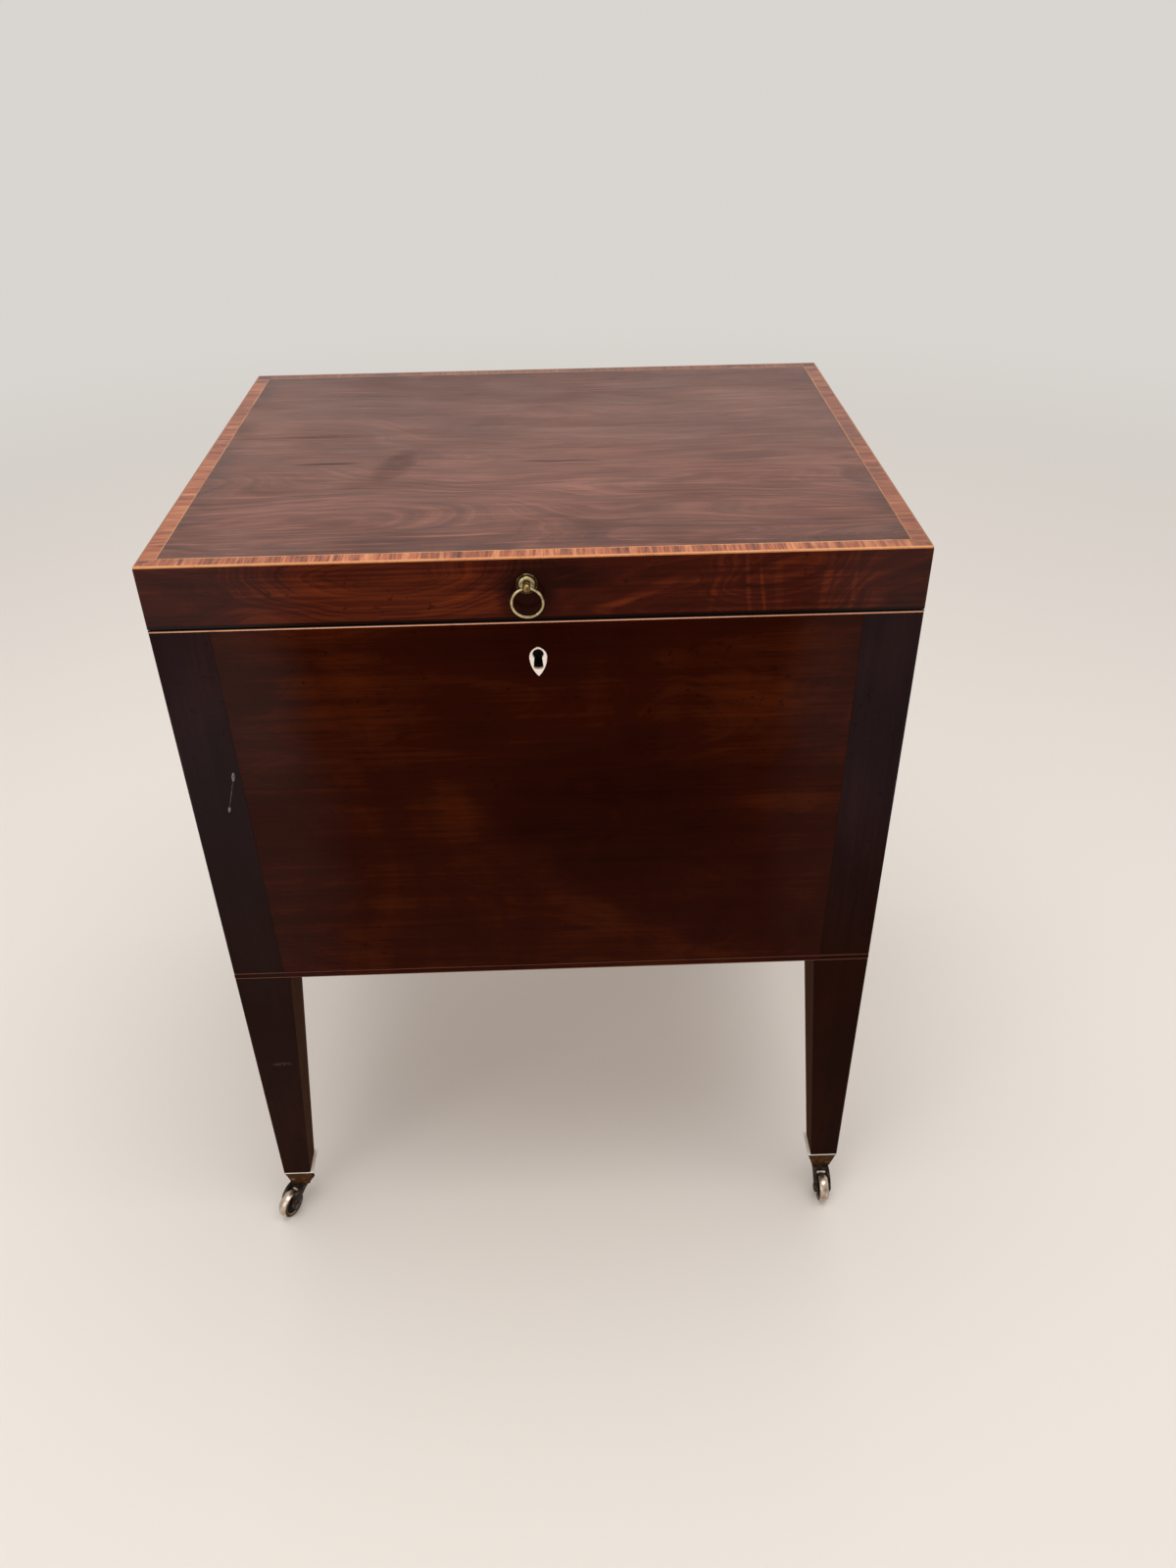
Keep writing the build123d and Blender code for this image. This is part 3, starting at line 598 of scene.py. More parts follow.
@dataclass(frozen=True)
class FadedTop(Finish):
    """The lid's sheet of mahogany: long grain, bleached by light, with smears and rubbed places."""

    deep: Colour
    body: Colour
    light: Colour
    gloss: Gloss
    smears: Places = ()

    def paint(self, r: Recipe, place: Wire) -> None:
        """Sets the look of a new material.

        Args:
            r: The material being built.
            place: The point on the surface.
        """
        x, y, _ = r.split(place)
        bend = (r.noise(place, (2.2, 3, 1), 2, 0.45, shift=(5, 3, 0)) - 0.5) * 0.06
        across = y + bend
        run = r.vector(x, across, 0.0)
        clouds = r.noise(run, (3, 8, 1), 3, 0.5, 0.4)
        swirl = r.noise(run, (1.9, 7.5, 1), 2, 0.45, 0.3, shift=(2, 7, 0))
        waved = r.vector(x, across + swirl * 0.05, 0.0)
        bands = r.noise(waved, (4.5, 60, 1), 3, 0.6, 0.25, shift=(0.3, 2.2, 0))
        mottle = r.noise(run, (11, 30, 1), 3, 0.6, 0.6, shift=(6, 2, 0))
        streaks = r.noise(waved, (9, 270, 1), 4, 0.75, 0.1, shift=(3, 1, 0))
        rings = r.noise(r.vector(swirl * 70 + across * 160, x * 5, 0.0), rough=0.65)
        fibre = r.noise(run, (42, 1600, 1), 2, 0.5)
        pores = r.noise(run, (75, 2000, 1), 1, 0.5, shift=(1, 6, 0)).rise(0.60, 0.70)
        near = y.rise(0.02, -0.13)
        depth = (clouds - 0.5) * 0.24 + (bands - 0.5) * 0.1 + (mottle - 0.5) * 0.16 + 0.5
        depth = depth + (streaks - 0.5) * (near * 0.2 + 0.28)
        depth = depth + (rings - 0.5) * (near * 0.24 + 0.22)
        ragged = r.split(r.warp(r.mapped(run, (20, 60, 1)), 0.008))
        film = (mottle - 0.5) * 0.5 + self.gloss.coat
        for smear in self.smears:
            lift = smear.over(x + ragged[0], y + ragged[1] * 0.4)
            depth = depth + lift * 0.6
            film = film + lift * 1.1
        tone = r.ramp(depth, (0.30, self.deep), (0.5, self.body), (0.7, self.light))
        dashes = r.noise(waved, (10, 260, 1), 2, 0.5, shift=(8, 8, 0)).rise(0.62, 0.68)
        glints = r.noise(waved, (8, 230, 1), 2, 0.5, shift=(2, 5, 0)).rise(0.61, 0.68)
        tone = r.blend(tone, self.deep, dashes * 0.5 + pores * 0.35)
        tone = r.blend(tone, self.light, glints * (near * 0.3 + 0.4))
        edge = (HALF_WIDTH - abs(x)).at_most(HALF_DEPTH - abs(y))
        grime = edge.rise(0.036, BAND_END + INNER_LINE)
        grime = grime * r.noise(place, (22, 22, 1), 3, 0.6).rise(0.34, 0.6)
        tone = r.blend(tone, self.deep, grime * 0.55)
        dull = r.noise(place, (6, 6, 6), 4, 0.62, shift=(1, 9, 2))
        wiped = r.noise(place, (3, 42, 1), 3, 0.6, turn=(0, 0, 0.35), shift=(4, 4, 0))
        height = streaks * 0.3 + fibre * 0.3 - pores * 0.35 + dull * 0.7
        r.set(base_color=tone, normal=r.bump(height, 0.00012, 0.5))
        self.gloss.give(r, (dull - 0.5) * 0.25 + (wiped - 0.5) * 0.12 + fibre * 0.05)
        r.set(coat_weight=(film + (wiped - 0.5) * 0.35).at_least(0.03))


@dataclass(frozen=True)
class CrossVeneer(Finish):
    """Banding whose grain runs across the strip, in short lengths of differing tone."""

    deep: Colour
    body: Colour
    light: Colour

    def paint(self, r: Recipe, place: Wire) -> None:
        """Sets the look of a new material.

        Args:
            r: The material being built.
            place: The point on the surface.
        """
        tone = r.laid("tone", "Fac")
        lay = r.vectors("ADD", r.laid("lay"), r.vector(tone * 7.3, tone * 3.1, 0.0))
        stripes = r.noise(lay, (420, 20, 20), 3, 0.62, 0.2)
        broad = r.noise(lay, (110, 9, 9), 3, 0.6, shift=(4, 0, 2))
        fibre = r.noise(lay, (1500, 90, 90), 2, 0.5)
        depth = stripes * 0.42 + broad * 0.4 + (tone - 0.5) * 0.06 + fibre * 0.18
        mix = r.ramp(depth, (0.38, self.deep), (0.51, self.body), (0.64, self.light))
        ticks = r.noise(lay, (330, 11, 11), 2, 0.55, shift=(1, 9, 5)).rise(0.60, 0.68)
        mix = r.blend(mix, self.deep, ticks * 0.42)
        x, y, _ = r.split(place)
        grime = r.noise(place, (26, 26, 26), 3, 0.6).rise(0.50, 0.72)
        side, back = HALF_WIDTH - BAND_END, HALF_DEPTH - BAND_END
        aside = (abs(x) > side) * 0.16 + (x > side) * 0.3 + (y > back) * 0.7
        ends = abs(x).rise(0.15, 0.248) * 0.28
        mix = r.blend(mix, self.deep, grime * 0.4 + aside.at_least(ends))
        rough = 0.3 + (r.noise(place, (9, 9, 9), 3, 0.6) - 0.5) * 0.2
        normal = r.bump(stripes * 0.6 + fibre * 0.4, 0.0001, 0.5)
        r.set(base_color=mix, roughness=rough, normal=normal)
        r.set(ior=1.5, specular_ior_level=0.3, coat_weight=0.15, coat_roughness=0.22)


# Where the strings turn darker: towards the ends, at the back, and past the front face
STRING_END, STRING_BACK, STRING_TURN = 0.235, 0.18, -0.2094


@dataclass(frozen=True)
class StringWood(Finish):
    """Boxwood stringing under old polish, dirtied and patched in places, with painted shade above a
    height where one is given.
    """

    body: Colour
    tan: Colour
    dirt: Colour
    grime: float = 0.4
    lost_ends: bool = False
    front_only: bool = False
    # Height above which the string gets painted shade, where the gap under the lid shades it;
    # nought for none
    shaded_above: float = 0.0

    def paint(self, r: Recipe, place: Wire) -> None:
        """Sets the look of a new material.

        Args:
            r: The material being built.
            place: The point on the surface.
        """
        x, y, z = r.split(place)
        slow = r.noise(place, (14, 14, 14), 3, 0.6, shift=(2, 5, 8))
        fine = r.noise(place, (420, 420, 420), 2, 0.55)
        mix = r.blend(self.body, self.tan, (slow - 0.38) * 1.6 + (fine - 0.5) * 0.7)
        dirt = r.noise(place, (48, 48, 48), 4, 0.62, shift=(7, 1, 1)).rise(0.56, 0.68) * self.grime
        if self.lost_ends:
            gaps = r.noise(place, (1, 30, 1), 3, 0.55, shift=(0, 3, 0)).rise(0.40, 0.62)
            dirt = dirt.at_least((x < -STRING_END) * (gaps * 0.3 + 0.3))
            dirt = dirt.at_least((y > STRING_BACK) * 0.6)
            dirt = dirt.at_least((x > STRING_END) * (gaps * 0.2 + 0.4))
        if self.front_only:
            dirt = dirt.at_least((y > STRING_TURN) * (0.62 + dirt * 0.3))
        # Painted shade: faces above the given height turn to the dark colour
        if self.shaded_above:
            dirt = dirt.at_least(z.rise(self.shaded_above - 0.0003, self.shaded_above))
        mix = r.blend(mix, self.dirt, dirt)
        r.set(base_color=mix, roughness=0.34 + fine * 0.12, normal=r.bump(fine, 0.00008, 0.4))
        r.set(ior=1.5, specular_ior_level=0.3, coat_weight=0.1, coat_roughness=0.2)


@dataclass(frozen=True)
class BareDeal(Finish):
    """Unpolished softwood inside the case, aged and stained."""

    pale: Colour
    ring: Colour
    stain: Colour
    grain: Grain

    def paint(self, r: Recipe, place: Wire) -> None:
        """Sets the look of a new material.

        Args:
            r: The material being built.
            place: The point on the surface.
        """
        run = r.mapped(place, (1, 1, 1), self.grain.value)
        sway = r.noise(run, (1.4, 4, 4), 3, 0.5)
        _, across, up = r.split(run)
        years = (across + up * 0.7) * 260 + sway * 26
        rings = r.noise(r.vector(years, 0.0, 0.0), rough=0.62).rise(0.38, 0.68)
        fibre = r.noise(run, (30, 1100, 1100), 2, 0.55)
        mix = r.blend(self.pale, self.ring, rings * 0.5 + (fibre - 0.5) * 0.5)
        stain = r.noise(place, (7, 7, 7), 4, 0.62).rise(0.46, 0.72)
        mix = r.blend(mix, self.stain, stain * 0.45)
        normal = r.bump(rings * 0.3 + fibre, 0.0002, 0.6)
        r.set(base_color=mix, roughness=0.62 + stain * 0.12, normal=normal)
        r.set(specular_ior_level=0.3)


@dataclass(frozen=True)
class OldMetal(Finish):
    """Brass or iron with toned hollows, rubbed places and fine scratches, a painted highlight band
    where a rim is given, and painted shade where the mesh carries it.
    """

    bright: Colour
    toned: Colour
    grime: Colour
    patina: float
    rough: float
    turned: bool = False
    # Heights of a band painted as a highlight
    rim: Pair | None = None
    metallic: float = 1.0
    level: float = 0.5

    def paint(self, r: Recipe, place: Wire) -> None:
        """Sets the look of a new material.

        Args:
            r: The material being built.
            place: The point on the surface.
        """
        mottle = r.noise(place, (190, 190, 190), 4, 0.65, 0.4, shift=(3, 3, 3))
        spots = r.noise(place, (620, 620, 620), 3, 0.6).rise(0.56, 0.7)
        share = (mottle - 0.5) * 2.2 + self.patina
        caked_dirt_and_shade = 0.0
        if self.turned:
            lay = r.laid("lay")
            marks = r.noise(lay, (2600, 5200, 0.4), 2, 0.5)
            # Hollow: settled dirt, and on the ring and the wheels painted shade; it darkens the
            # colour and dulls the metal
            hollow = r.laid("hollow", "Fac")
            share = share + hollow
            caked_dirt_and_shade = hollow.rise(0.9, 1.9)
        else:
            marks = r.noise(place, (1400, 1400, 130), 2, 0.5)
        # Painted highlight: the band of heights is brightened towards the bright colour
        if self.rim:
            _, _, z = r.split(place)
            share = share - z.rise(*self.rim) * 1.5
        mix = r.blend(self.bright, self.toned, share)
        mix = r.blend(mix, self.grime, spots * 0.35 + (share - 0.85) * 0.8)
        rough = self.rough + share * 0.12 + (marks - 0.5) * 0.16 + spots * 0.12 + caked_dirt_and_shade * 0.3
        height = marks * 0.4 + mottle * 0.6 - spots * 0.4
        r.set(base_color=mix, metallic=(self.metallic - spots * 0.25 - caked_dirt_and_shade).at_least(0.0))
        r.set(roughness=rough.at_least(0.1), normal=r.bump(height, 0.00006, 0.5))
        r.set(specular_ior_level=self.level)


@dataclass(frozen=True)
class AgedBone(Finish):
    """Cream bone with fine blood channels, browned where dirt has settled."""

    cream: Colour
    shadow: Colour
    brown: Colour

    def paint(self, r: Recipe, place: Wire) -> None:
        """Sets the look of a new material.

        Args:
            r: The material being built.
            place: The point on the surface.
        """
        slow = r.noise(place, (150, 150, 90), 3, 0.55)
        channels = r.noise(place, (2600, 2600, 260), 2, 0.5).rise(0.6, 0.72)
        mix = r.blend(self.cream, self.shadow, (slow - 0.4) * 1.3)
        _, y, _ = r.split(place)
        in_from_face = y + HALF_DEPTH
        seam = in_from_face.rise(0.00004, 0.00025) * in_from_face.rise(0.0016, 0.0008)
        mix = r.blend(mix, self.brown, channels * 0.35 + seam * 0.92)
        normal = r.bump(channels * -1.0, 0.00005, 0.5)
        r.set(base_color=mix, roughness=0.34 + slow * 0.1, normal=normal)
        r.set(ior=1.5, coat_weight=0.2, coat_roughness=0.25)


BACKDROP = "#d9d5d0"


def looked_at(graph: Graph) -> Wire:
    """One for the rays that show the background: straight, mirrored and through glass."""
    seen = graph.node("ShaderNodeLightPath", None, None, "Is Camera Ray")
    return (seen + seen.beside("Is Glossy Ray") + seen.beside("Is Transmission Ray")).at_most(1.0)


@dataclass(frozen=True)
class PaleFloor(Finish):
    """The plain pale studio floor, which melts into the backdrop far from the object."""

    colour: Colour
    near: float = 1.1
    far: float = 3.2

    def paint(self, r: Recipe, place: Wire) -> None:
        """Sets the look of a new material.

        Args:
            r: The material being built.
            place: The point on the surface.
        """
        soft = r.noise(place, (1.5, 1.5, 1.5), 2)
        r.set(base_color=r.blend(self.colour, (0.9, 0.88, 0.86), soft * 0.1), roughness=0.8)
        r.set(specular_ior_level=0.2)
        distance = r.node("ShaderNodeVectorMath", {"operation": "LENGTH"}, {0: place}, 1)
        glow = r.node("ShaderNodeEmission", None, {"Color": rgba(BACKDROP), "Strength": 1.0})
        share = distance.rise(self.near, self.far) * looked_at(r)
        sockets = {0: share, 1: Wire(r, r.shader.outputs[0]), 2: glow}
        whole = r.node("ShaderNodeMixShader", None, sockets)
        output = next(n for n in r.tree.nodes if n.type == "OUTPUT_MATERIAL")
        r.tree.links.new(whole.socket, output.inputs[0])


DARK_MAHOGANY = PolishedMahogany(
    "dark_mahogany_upright", "dark_mahogany", "#160c0c", "#221416", "#392322",
    Grain.ALONG_Z, Figure.STRAIGHT, Gloss(0.34, 0.022, (1.0, 0.7, 0.5), 0.0), Edges.CASE,
    scuffs=places(
        (-225, 499.9, 4.6, 1.4, 80, 0.85), (-233.1, 471.3, 3.4, 1.1, 75, 0.75),
        (-229.2, 485, 15, 0.3, 74, 0.3), (-238, 197.9, 11, 2.6, 2, 0.06),
    ),
    veils=places(
        (-240, 440, 200, 60, 90, 0.013), (240, 530, 150, 60, 90, 0.005),
        (-235, 180, 200, 60, 90, 0.009),
    ),
    foot_tint=(0.8, 0.36, 0.13),
)
CASE_GLOSS = Gloss(0.32, 0.05, (1.0, 0.22, 0.06), 0.002)
FRONT_MAHOGANY = PolishedMahogany(
    "front_mahogany", "mahogany", "#1a0301", "#290902", "#501e07",
    Grain.ALONG_X, Figure.CLOUDED, CASE_GLOSS,
    clouds=places(
        (-105, 565, 120, 40, 3, 0.03), (-78, 455, 50, 30, -6, 0.08), (-100, 420, 120, 60, 0, -0.04),
        (-30, 430, 85, 24, -52, 0.05), (10, 385, 80, 24, -46, 0.05), (70, 345, 80, 16, -28, 0.045),
        (45, 455, 110, 100, 0, -0.13), (-10, 600, 110, 32, 0, -0.12),
        (-52, 545, 40, 30, -30, -0.05), (143, 566, 60, 6, -9, 0.045), (165, 552, 55, 5, -7, 0.06),
        (180, 465, 60, 14, -5, 0.04), (130, 530, 75, 50, 0, 0.035), (-215, 540, 160, 60, 90, -0.03),
    ),
    veils=places(
        (-225, 460, 260, 90, 90, 0.013), (215, 470, 220, 60, 90, 0.007),
        (-208, 570, 110, 55, 90, 0.014), (208, 580, 110, 50, 90, 0.009),
    ),
)
BACK_MAHOGANY = PolishedMahogany(
    "back_mahogany", "mahogany", "#190402", "#2a0c04", "#4e2009",
    Grain.ALONG_X, Figure.CLOUDED, CASE_GLOSS,
)
SIDE_MAHOGANY = PolishedMahogany(
    "side_mahogany", "mahogany", "#180402", "#290b04", "#4a1f0a",
    Grain.ALONG_Y, Figure.CLOUDED, CASE_GLOSS,
)
LID_GLOSS = Gloss(0.28, 0.1, (1.0, 0.42, 0.26), 0.02)
LID_FRONT_MAHOGANY = PolishedMahogany(
    "lid_front_mahogany", "mahogany", "#1f0604", "#3c1108", "#6c2b11",
    Grain.ALONG_X, Figure.FLAMED, LID_GLOSS, Edges.LID,
    clouds=places(
        (-240, 640, 50, 40, 0, -0.05), (-100, 645, 100, 34, 0, 0.05), (-60, 632, 30, 6, 22, 0.05),
        (35, 645, 60, 18, 0, -0.08), (75, 640, 34, 5, 25, 0.08), (45, 628, 24, 4, 12, 0.06),
        (118, 640, 30, 3, 80, 0.05), (140, 640, 34, 2, 96, 0.1), (150, 634, 28, 1.7, 98, 0.12),
        (160, 640, 30, 4, 94, 0.05), (191.5, 640, 26, 4, 84, 0.1), (197, 636, 20, 2.6, 76, 0.06),
        (210, 637, 28, 2.2, 88, 0.07), (250, 642, 32, 40, 0, -0.1), (-6, 635, 24, 24, 0, -0.28),
        (4, 652, 48, 18, 0, -0.12), (12, 630, 40, 12, 0, -0.1),
    ),
    swells=places((-104, 668, 120, 52, 0, 0.8), (165, 640, 60, 110, 0, 0.2)),
    veils=places((-240, 640, 100, 60, 0, 0.027), (258, 640, 85, 60, 0, 0.021)),
    sway=0.004,
    drift=0.0016,
)
LID_BACK_MAHOGANY = PolishedMahogany(
    "lid_back_mahogany", "mahogany", "#1e0604", "#391108", "#652b10",
    Grain.ALONG_X, Figure.FLAMED, LID_GLOSS, Edges.LID,
)
LID_SIDE_MAHOGANY = PolishedMahogany(
    "lid_side_mahogany", "mahogany", "#1e0604", "#391108", "#62290f",
    Grain.ALONG_Y, Figure.FLAMED, LID_GLOSS, Edges.LID,
)
TOP_MAHOGANY = FadedTop(
    "top_mahogany_sheet", "top_mahogany", "#381b15", "#603528", "#8b5342",
    Gloss(0.34, 0.10, (1.0, 0.95, 0.95), 0.36),
    smears=places(
        (-160, -29, 34, 3.2, 1, -0.3), (-165, 34, 60, 8, 0, -0.15), (-108, -38, 42, 15, 76, -0.16),
        (20, -35, 45, 2.6, -3, -0.3), (-125, -137, 70, 20, 0, -0.05), (-91, -180, 50, 12, 0, -0.06),
        (-20, 200, 300, 130, 0, -0.11), (60, -120, 170, 50, 4, 0.02), (24, 32, 60, 14, 0, 0.06),
        (190, 78, 60, 3, 8, 0.08), (-235, -175, 30, 30, 0, -0.07), (120, 20, 80, 20, -8, 0.03),
        (-150, -120, 90, 50, 0, 0.05),
    ),
)
CROSSBANDING = CrossVeneer(
    "crossbanding_veneer", "crossbanding", "#4e1f10", "#a3542f", "#cf8a5a",
)
ARRIS_BOXWOOD = StringWood(
    "arris_boxwood", "boxwood", "#d08c58", "#b0602b", "#4c1f0e", 0.3, front_only=True,
)
INNER_BOXWOOD = StringWood(
    "inner_boxwood", "boxwood", "#cf945f", "#a05c2f", "#552612", 0.5, True,
)
# Its near-black dark colour is also the painted shade on the string's top face in the gap under the
# lid
CASE_BOXWOOD = StringWood(
    "case_boxwood", "boxwood", "#e4a37e", "#b57050", "#0d0402", 0.25,
    front_only=True, shaded_above=0.6185,
)
BASE_BOXWOOD = StringWood(
    "base_boxwood", "boxwood", "#5e2c14", "#3e1a0c", "#1a0905", 0.7,
)
DEAL_X = BareDeal("deal_along_x", "deal", "#b08a5e", "#8c6038", "#5f4530", Grain.ALONG_X)
DEAL_Y = BareDeal("deal_along_y", "deal", "#a98258", "#875c36", "#5a412d", Grain.ALONG_Y)
ANTIQUE_BRASS = OldMetal(
    "antique_brass_plate", "antique_brass", "#b39763", "#77603a", "#2c2116", 0.5, 0.32,
)
# Dark, partly for old bronze-toned brass and partly as painted shade where the lock shows through
# the keyhole
LOCK_BRASS = OldMetal(
    "lock_brass_dark", "antique_brass", "#5a4830", "#2c2318", "#100c08", 0.7, 0.5,
    metallic=0.5, level=0.2,
)
TURNED_BRASS = OldMetal(
    "turned_brass", "antique_brass", "#e8d6a2", "#584322", "#140c06", 0.42, 0.24, True,
)
POST_BRASS = OldMetal(
    "post_brass", "antique_brass", "#ac9460", "#4e3a1c", "#140e08", 0.55, 0.27,
)
RING_BRASS = OldMetal(
    "ring_brass", "antique_brass", "#d8c498", "#4a3720", "#120c07", 0.2, 0.2, True,
)
# The bright colour shows almost only as the painted highlight along the plate's edge
HORN_BRASS = OldMetal(
    "horn_brass", "dark_brass", "#f2eadb", "#523214", "#1c0f06", 1.22, 0.5,
    rim=(0.0487, 0.0491), metallic=0.15, level=0.1,
)
# Dark and almost without metal shine: partly the old brass's own tone, partly painted shade for the
# shadow under the case
FORK_BRASS = OldMetal(
    "fork_brass", "dark_brass", "#7d7063", "#2b2018", "#0c0805", 1.0, 0.5,
    metallic=0.1, level=0.1,
)
WHEEL_BRASS = OldMetal(
    "wheel_brass_tread", "wheel_brass", "#e0d3c2", "#7e654e", "#17100c", 0.4, 0.28, True,
    level=0.2,
)
# A darker copy of the wheel brass: painted shade for the back wheels in the shadow under the case
SHADED_WHEEL_BRASS = OldMetal(
    "wheel_brass_dull", "wheel_brass", "#85786a", "#453628", "#120c08", 0.8, 0.45, True,
    metallic=0.4, level=0.2,
)
IRON = OldMetal("dull_iron", "iron", "#6b6660", "#413c38", "#221c19", 0.5, 0.48)
TURNED_IRON = OldMetal("turned_iron", "iron", "#6f6a64", "#443e39", "#221c19", 0.6, 0.42)
BONE = AgedBone("aged_bone", "bone", "#fbeadc", "#e6ccb8", "#6e4028")
FLOOR = PaleFloor("pale_floor", "", "#e6ddd3")


# Meshes

# How near points are joined, how far flat and sharp faces turn, and how much a mitre slants
WELD, TOUCH, SAME = 0.000002, 0.00002, 1e-7
FLAT, SHARP, FRAME_SHARP = math.radians(0.5), math.radians(40), 0.8
MITRED = 0.6


def finished(name: str, mesh: Mesh, *finishes: Finish) -> Object:
    """Puts a mesh into the scene as a named piece.

    Args:
        name: The piece's name.
        mesh: Its mesh, in place; of several finishes, its faces' numbers choose one.
        finishes: What it is dressed in.

    Returns:
        The piece.
    """
    chosen = [face.material_index for face in mesh.polygons]
    mesh.name = name
    mesh.materials.clear()
    for finish in finishes:
        mesh.materials.append(finish.material())
    if len(finishes) > 1:
        mesh.polygons.foreach_set("material_index", chosen)
    piece = bpy.data.objects.new(name, mesh)
    bpy.context.scene.collection.objects.link(piece)
    return piece


def settled(name: str, mesh: Mesh, body: str, nodes: tuple[str, ...], *finishes: Finish) -> None:
    """Finishes a piece, rides it on its body and hides the nodes it replaces.

    Args:
        name: The piece's name.
        mesh: Its mesh, in place.
        body: The body that it rides on.
        nodes: The CAD nodes that it replaces.
        finishes: What it is dressed in.
    """
    piece = finished(name, mesh, *finishes)
    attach(piece, body)
    if nodes:
        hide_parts(*nodes)
    LOG.info("%s on %s, %d faces", name, body, len(mesh.polygons))


def dressed(finish: Finish, *nodes: str) -> None:
    """Gives CAD nodes that stay as they are their finish.

    Args:
        finish: What they are dressed in.
        nodes: The nodes.
    """
    for node in nodes:
        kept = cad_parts[node]
        kept.data.materials.clear()
        kept.data.materials.append(finish.material())
        LOG.info("%s keeps its shape in %s", node, finish.name)


def merged(node: str) -> bmesh.types.BMesh:
    """A copy of a node's mesh with its loose triangles joined into flat faces.

    Args:
        node: The CAD node that is copied.

    Returns:
        The copy, to be freed by whoever uses it.
    """
    work = bmesh.new()
    work.from_mesh(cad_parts[node].data)
    bmesh.ops.remove_doubles(work, verts=work.verts, dist=WELD)
    bmesh.ops.dissolve_limit(
        work, angle_limit=FLAT, verts=work.verts, edges=work.edges, use_dissolve_boundaries=False
    )
    return work


def arrises(work: bmesh.types.BMesh, sharp: float) -> list[bmesh.types.BMEdge]:
    """The edges at which two faces turn by more than an angle."""
    return [e for e in work.edges if len(e.link_faces) == 2 and e.calc_face_angle(0) > sharp]


def bevelled(work: bmesh.types.BMesh, edges: list[bmesh.types.BMEdge], radius: float) -> Mesh:
    """Rounds chosen edges and closes the work.

    Args:
        work: What is rounded; it is freed.
        edges: The edges.
        radius: How far the rounding reaches on each side, in metres.

    Returns:
        The flat-shaded mesh.
    """
    bmesh.ops.bevel(
        work, geom=edges, offset=radius, offset_type="OFFSET", segments=2, profile=0.5,
        affect="EDGES", clamp_overlap=True,
    )
    mesh = bpy.data.meshes.new("bevelled")
    work.to_mesh(mesh)
    work.free()
    mesh.shade_flat()
    return mesh


def eased(node: str, radius: float, shortest: float = 0.0) -> Mesh:
    """A copy of a node's mesh with its arrises eased.

    Args:
        node: The CAD node that is copied.
        radius: How far the easing reaches on each side, in metres.
        shortest: The least length of an edge that is eased, in metres.

    Returns:
        The eased mesh.
    """
    work = merged(node)
    edges = [e for e in arrises(work, SHARP) if e.calc_length() >= shortest]
    return bevelled(work, edges, radius)


def rounded_frame(work: bmesh.types.BMesh, radius: float) -> Mesh:
    """Joins mitred bars into one frame and eases its outer arrises.

    Args:
        work: The bars, whose mitre faces meet; it is freed.
        radius: How far the easing reaches.

    Returns:
        The frame's mesh.
    """
    mitres = [f for f in work.faces if min(abs(f.normal.x), abs(f.normal.y)) > MITRED]
    bmesh.ops.delete(work, geom=mitres, context="FACES_ONLY")
    bmesh.ops.remove_doubles(work, verts=work.verts, dist=TOUCH)
    side, face = (max(v.co[axis] for v in work.verts) - TOUCH for axis in (0, 1))
    outer = {v for v in work.verts if abs(v.co.x) > side or abs(v.co.y) > face}
    corners = [e for e in arrises(work, FRAME_SHARP) if outer.issuperset(e.verts)]
    return bevelled(work, corners, radius)


def outward(mesh: Mesh) -> Mesh:
    """Joins a mesh's doubled points and turns its faces outwards.

    Args:
        mesh: The mesh, which is changed.

    Returns:
        The same mesh.
    """
    work = bmesh.new()
    work.from_mesh(mesh)
    bmesh.ops.remove_doubles(work, verts=work.verts, dist=SAME)
    bmesh.ops.recalc_face_normals(work, faces=work.faces)
    work.to_mesh(mesh)
    work.free()
    return mesh


def worked_metal(
    points: list[Vector], faces: list[list[int]], lay: list[float], dirt: list[float]
) -> Mesh:
    """A smooth mesh that carries what the old metal's finish reads.

    Args:
        points: The corners.
        faces: Each face's corners, by number.
        lay: Three coordinates a corner along which the tool marks run.
        dirt: How much darker each corner is: settled dirt, and on the ring and the wheels painted
            shade.

    Returns:
        The mesh, with the attributes "lay" and "hollow".
    """
    mesh = bpy.data.meshes.new("worked_metal")
    mesh.from_pydata([tuple(p) for p in points], [], faces)
    mesh.attributes.new("lay", "FLOAT_VECTOR", "POINT").data.foreach_set("vector", lay)
    mesh.attributes.new("hollow", "FLOAT", "POINT").data.foreach_set("value", dirt)
    mesh.update()
    mesh.shade_smooth()
    return mesh


@dataclass
class Lathe:
    """Turns a profile round an axis."""

    segments: int = 64

    def turn(self, profile: list[Pair], place: Matrix, hollows: list[float]) -> Mesh:
        """Turns one piece.

        Args:
            profile: Radius and height of each point in millimetres, once round the section.
            place: Where the piece's own axes stand in the frame.
            hollows: For each profile point, how much darker it is: settled dirt, and on the wheels
                painted shade.

        Returns:
            The mesh, with its own coordinates in the attribute "lay" and that darkening in
            "hollow".
        """
        points, lay, dirt, faces = [], [], [], []
        for (radius, height), hollow in zip(profile, hollows):
            wide, high = radius * MM, height * MM
            for step in range(self.segments):
                angle = 2 * math.pi * step / self.segments
                point = Vector((wide * math.cos(angle), wide * math.sin(angle), high))
                points.append(place @ point)
                lay.extend((math.hypot(point.x, point.y), point.z, math.atan2(point.y, point.x)))
                dirt.append(hollow)
        for low in range(len(profile) - 1):
            for step in range(self.segments):
                after = (step + 1) % self.segments
                a, b = low * self.segments, (low + 1) * self.segments
                faces.append([a + step, a + after, b + after, b + step])
        mesh = worked_metal(points, faces, lay, dirt)
        mesh.set_sharp_from_angle(angle=math.radians(50))
        return mesh


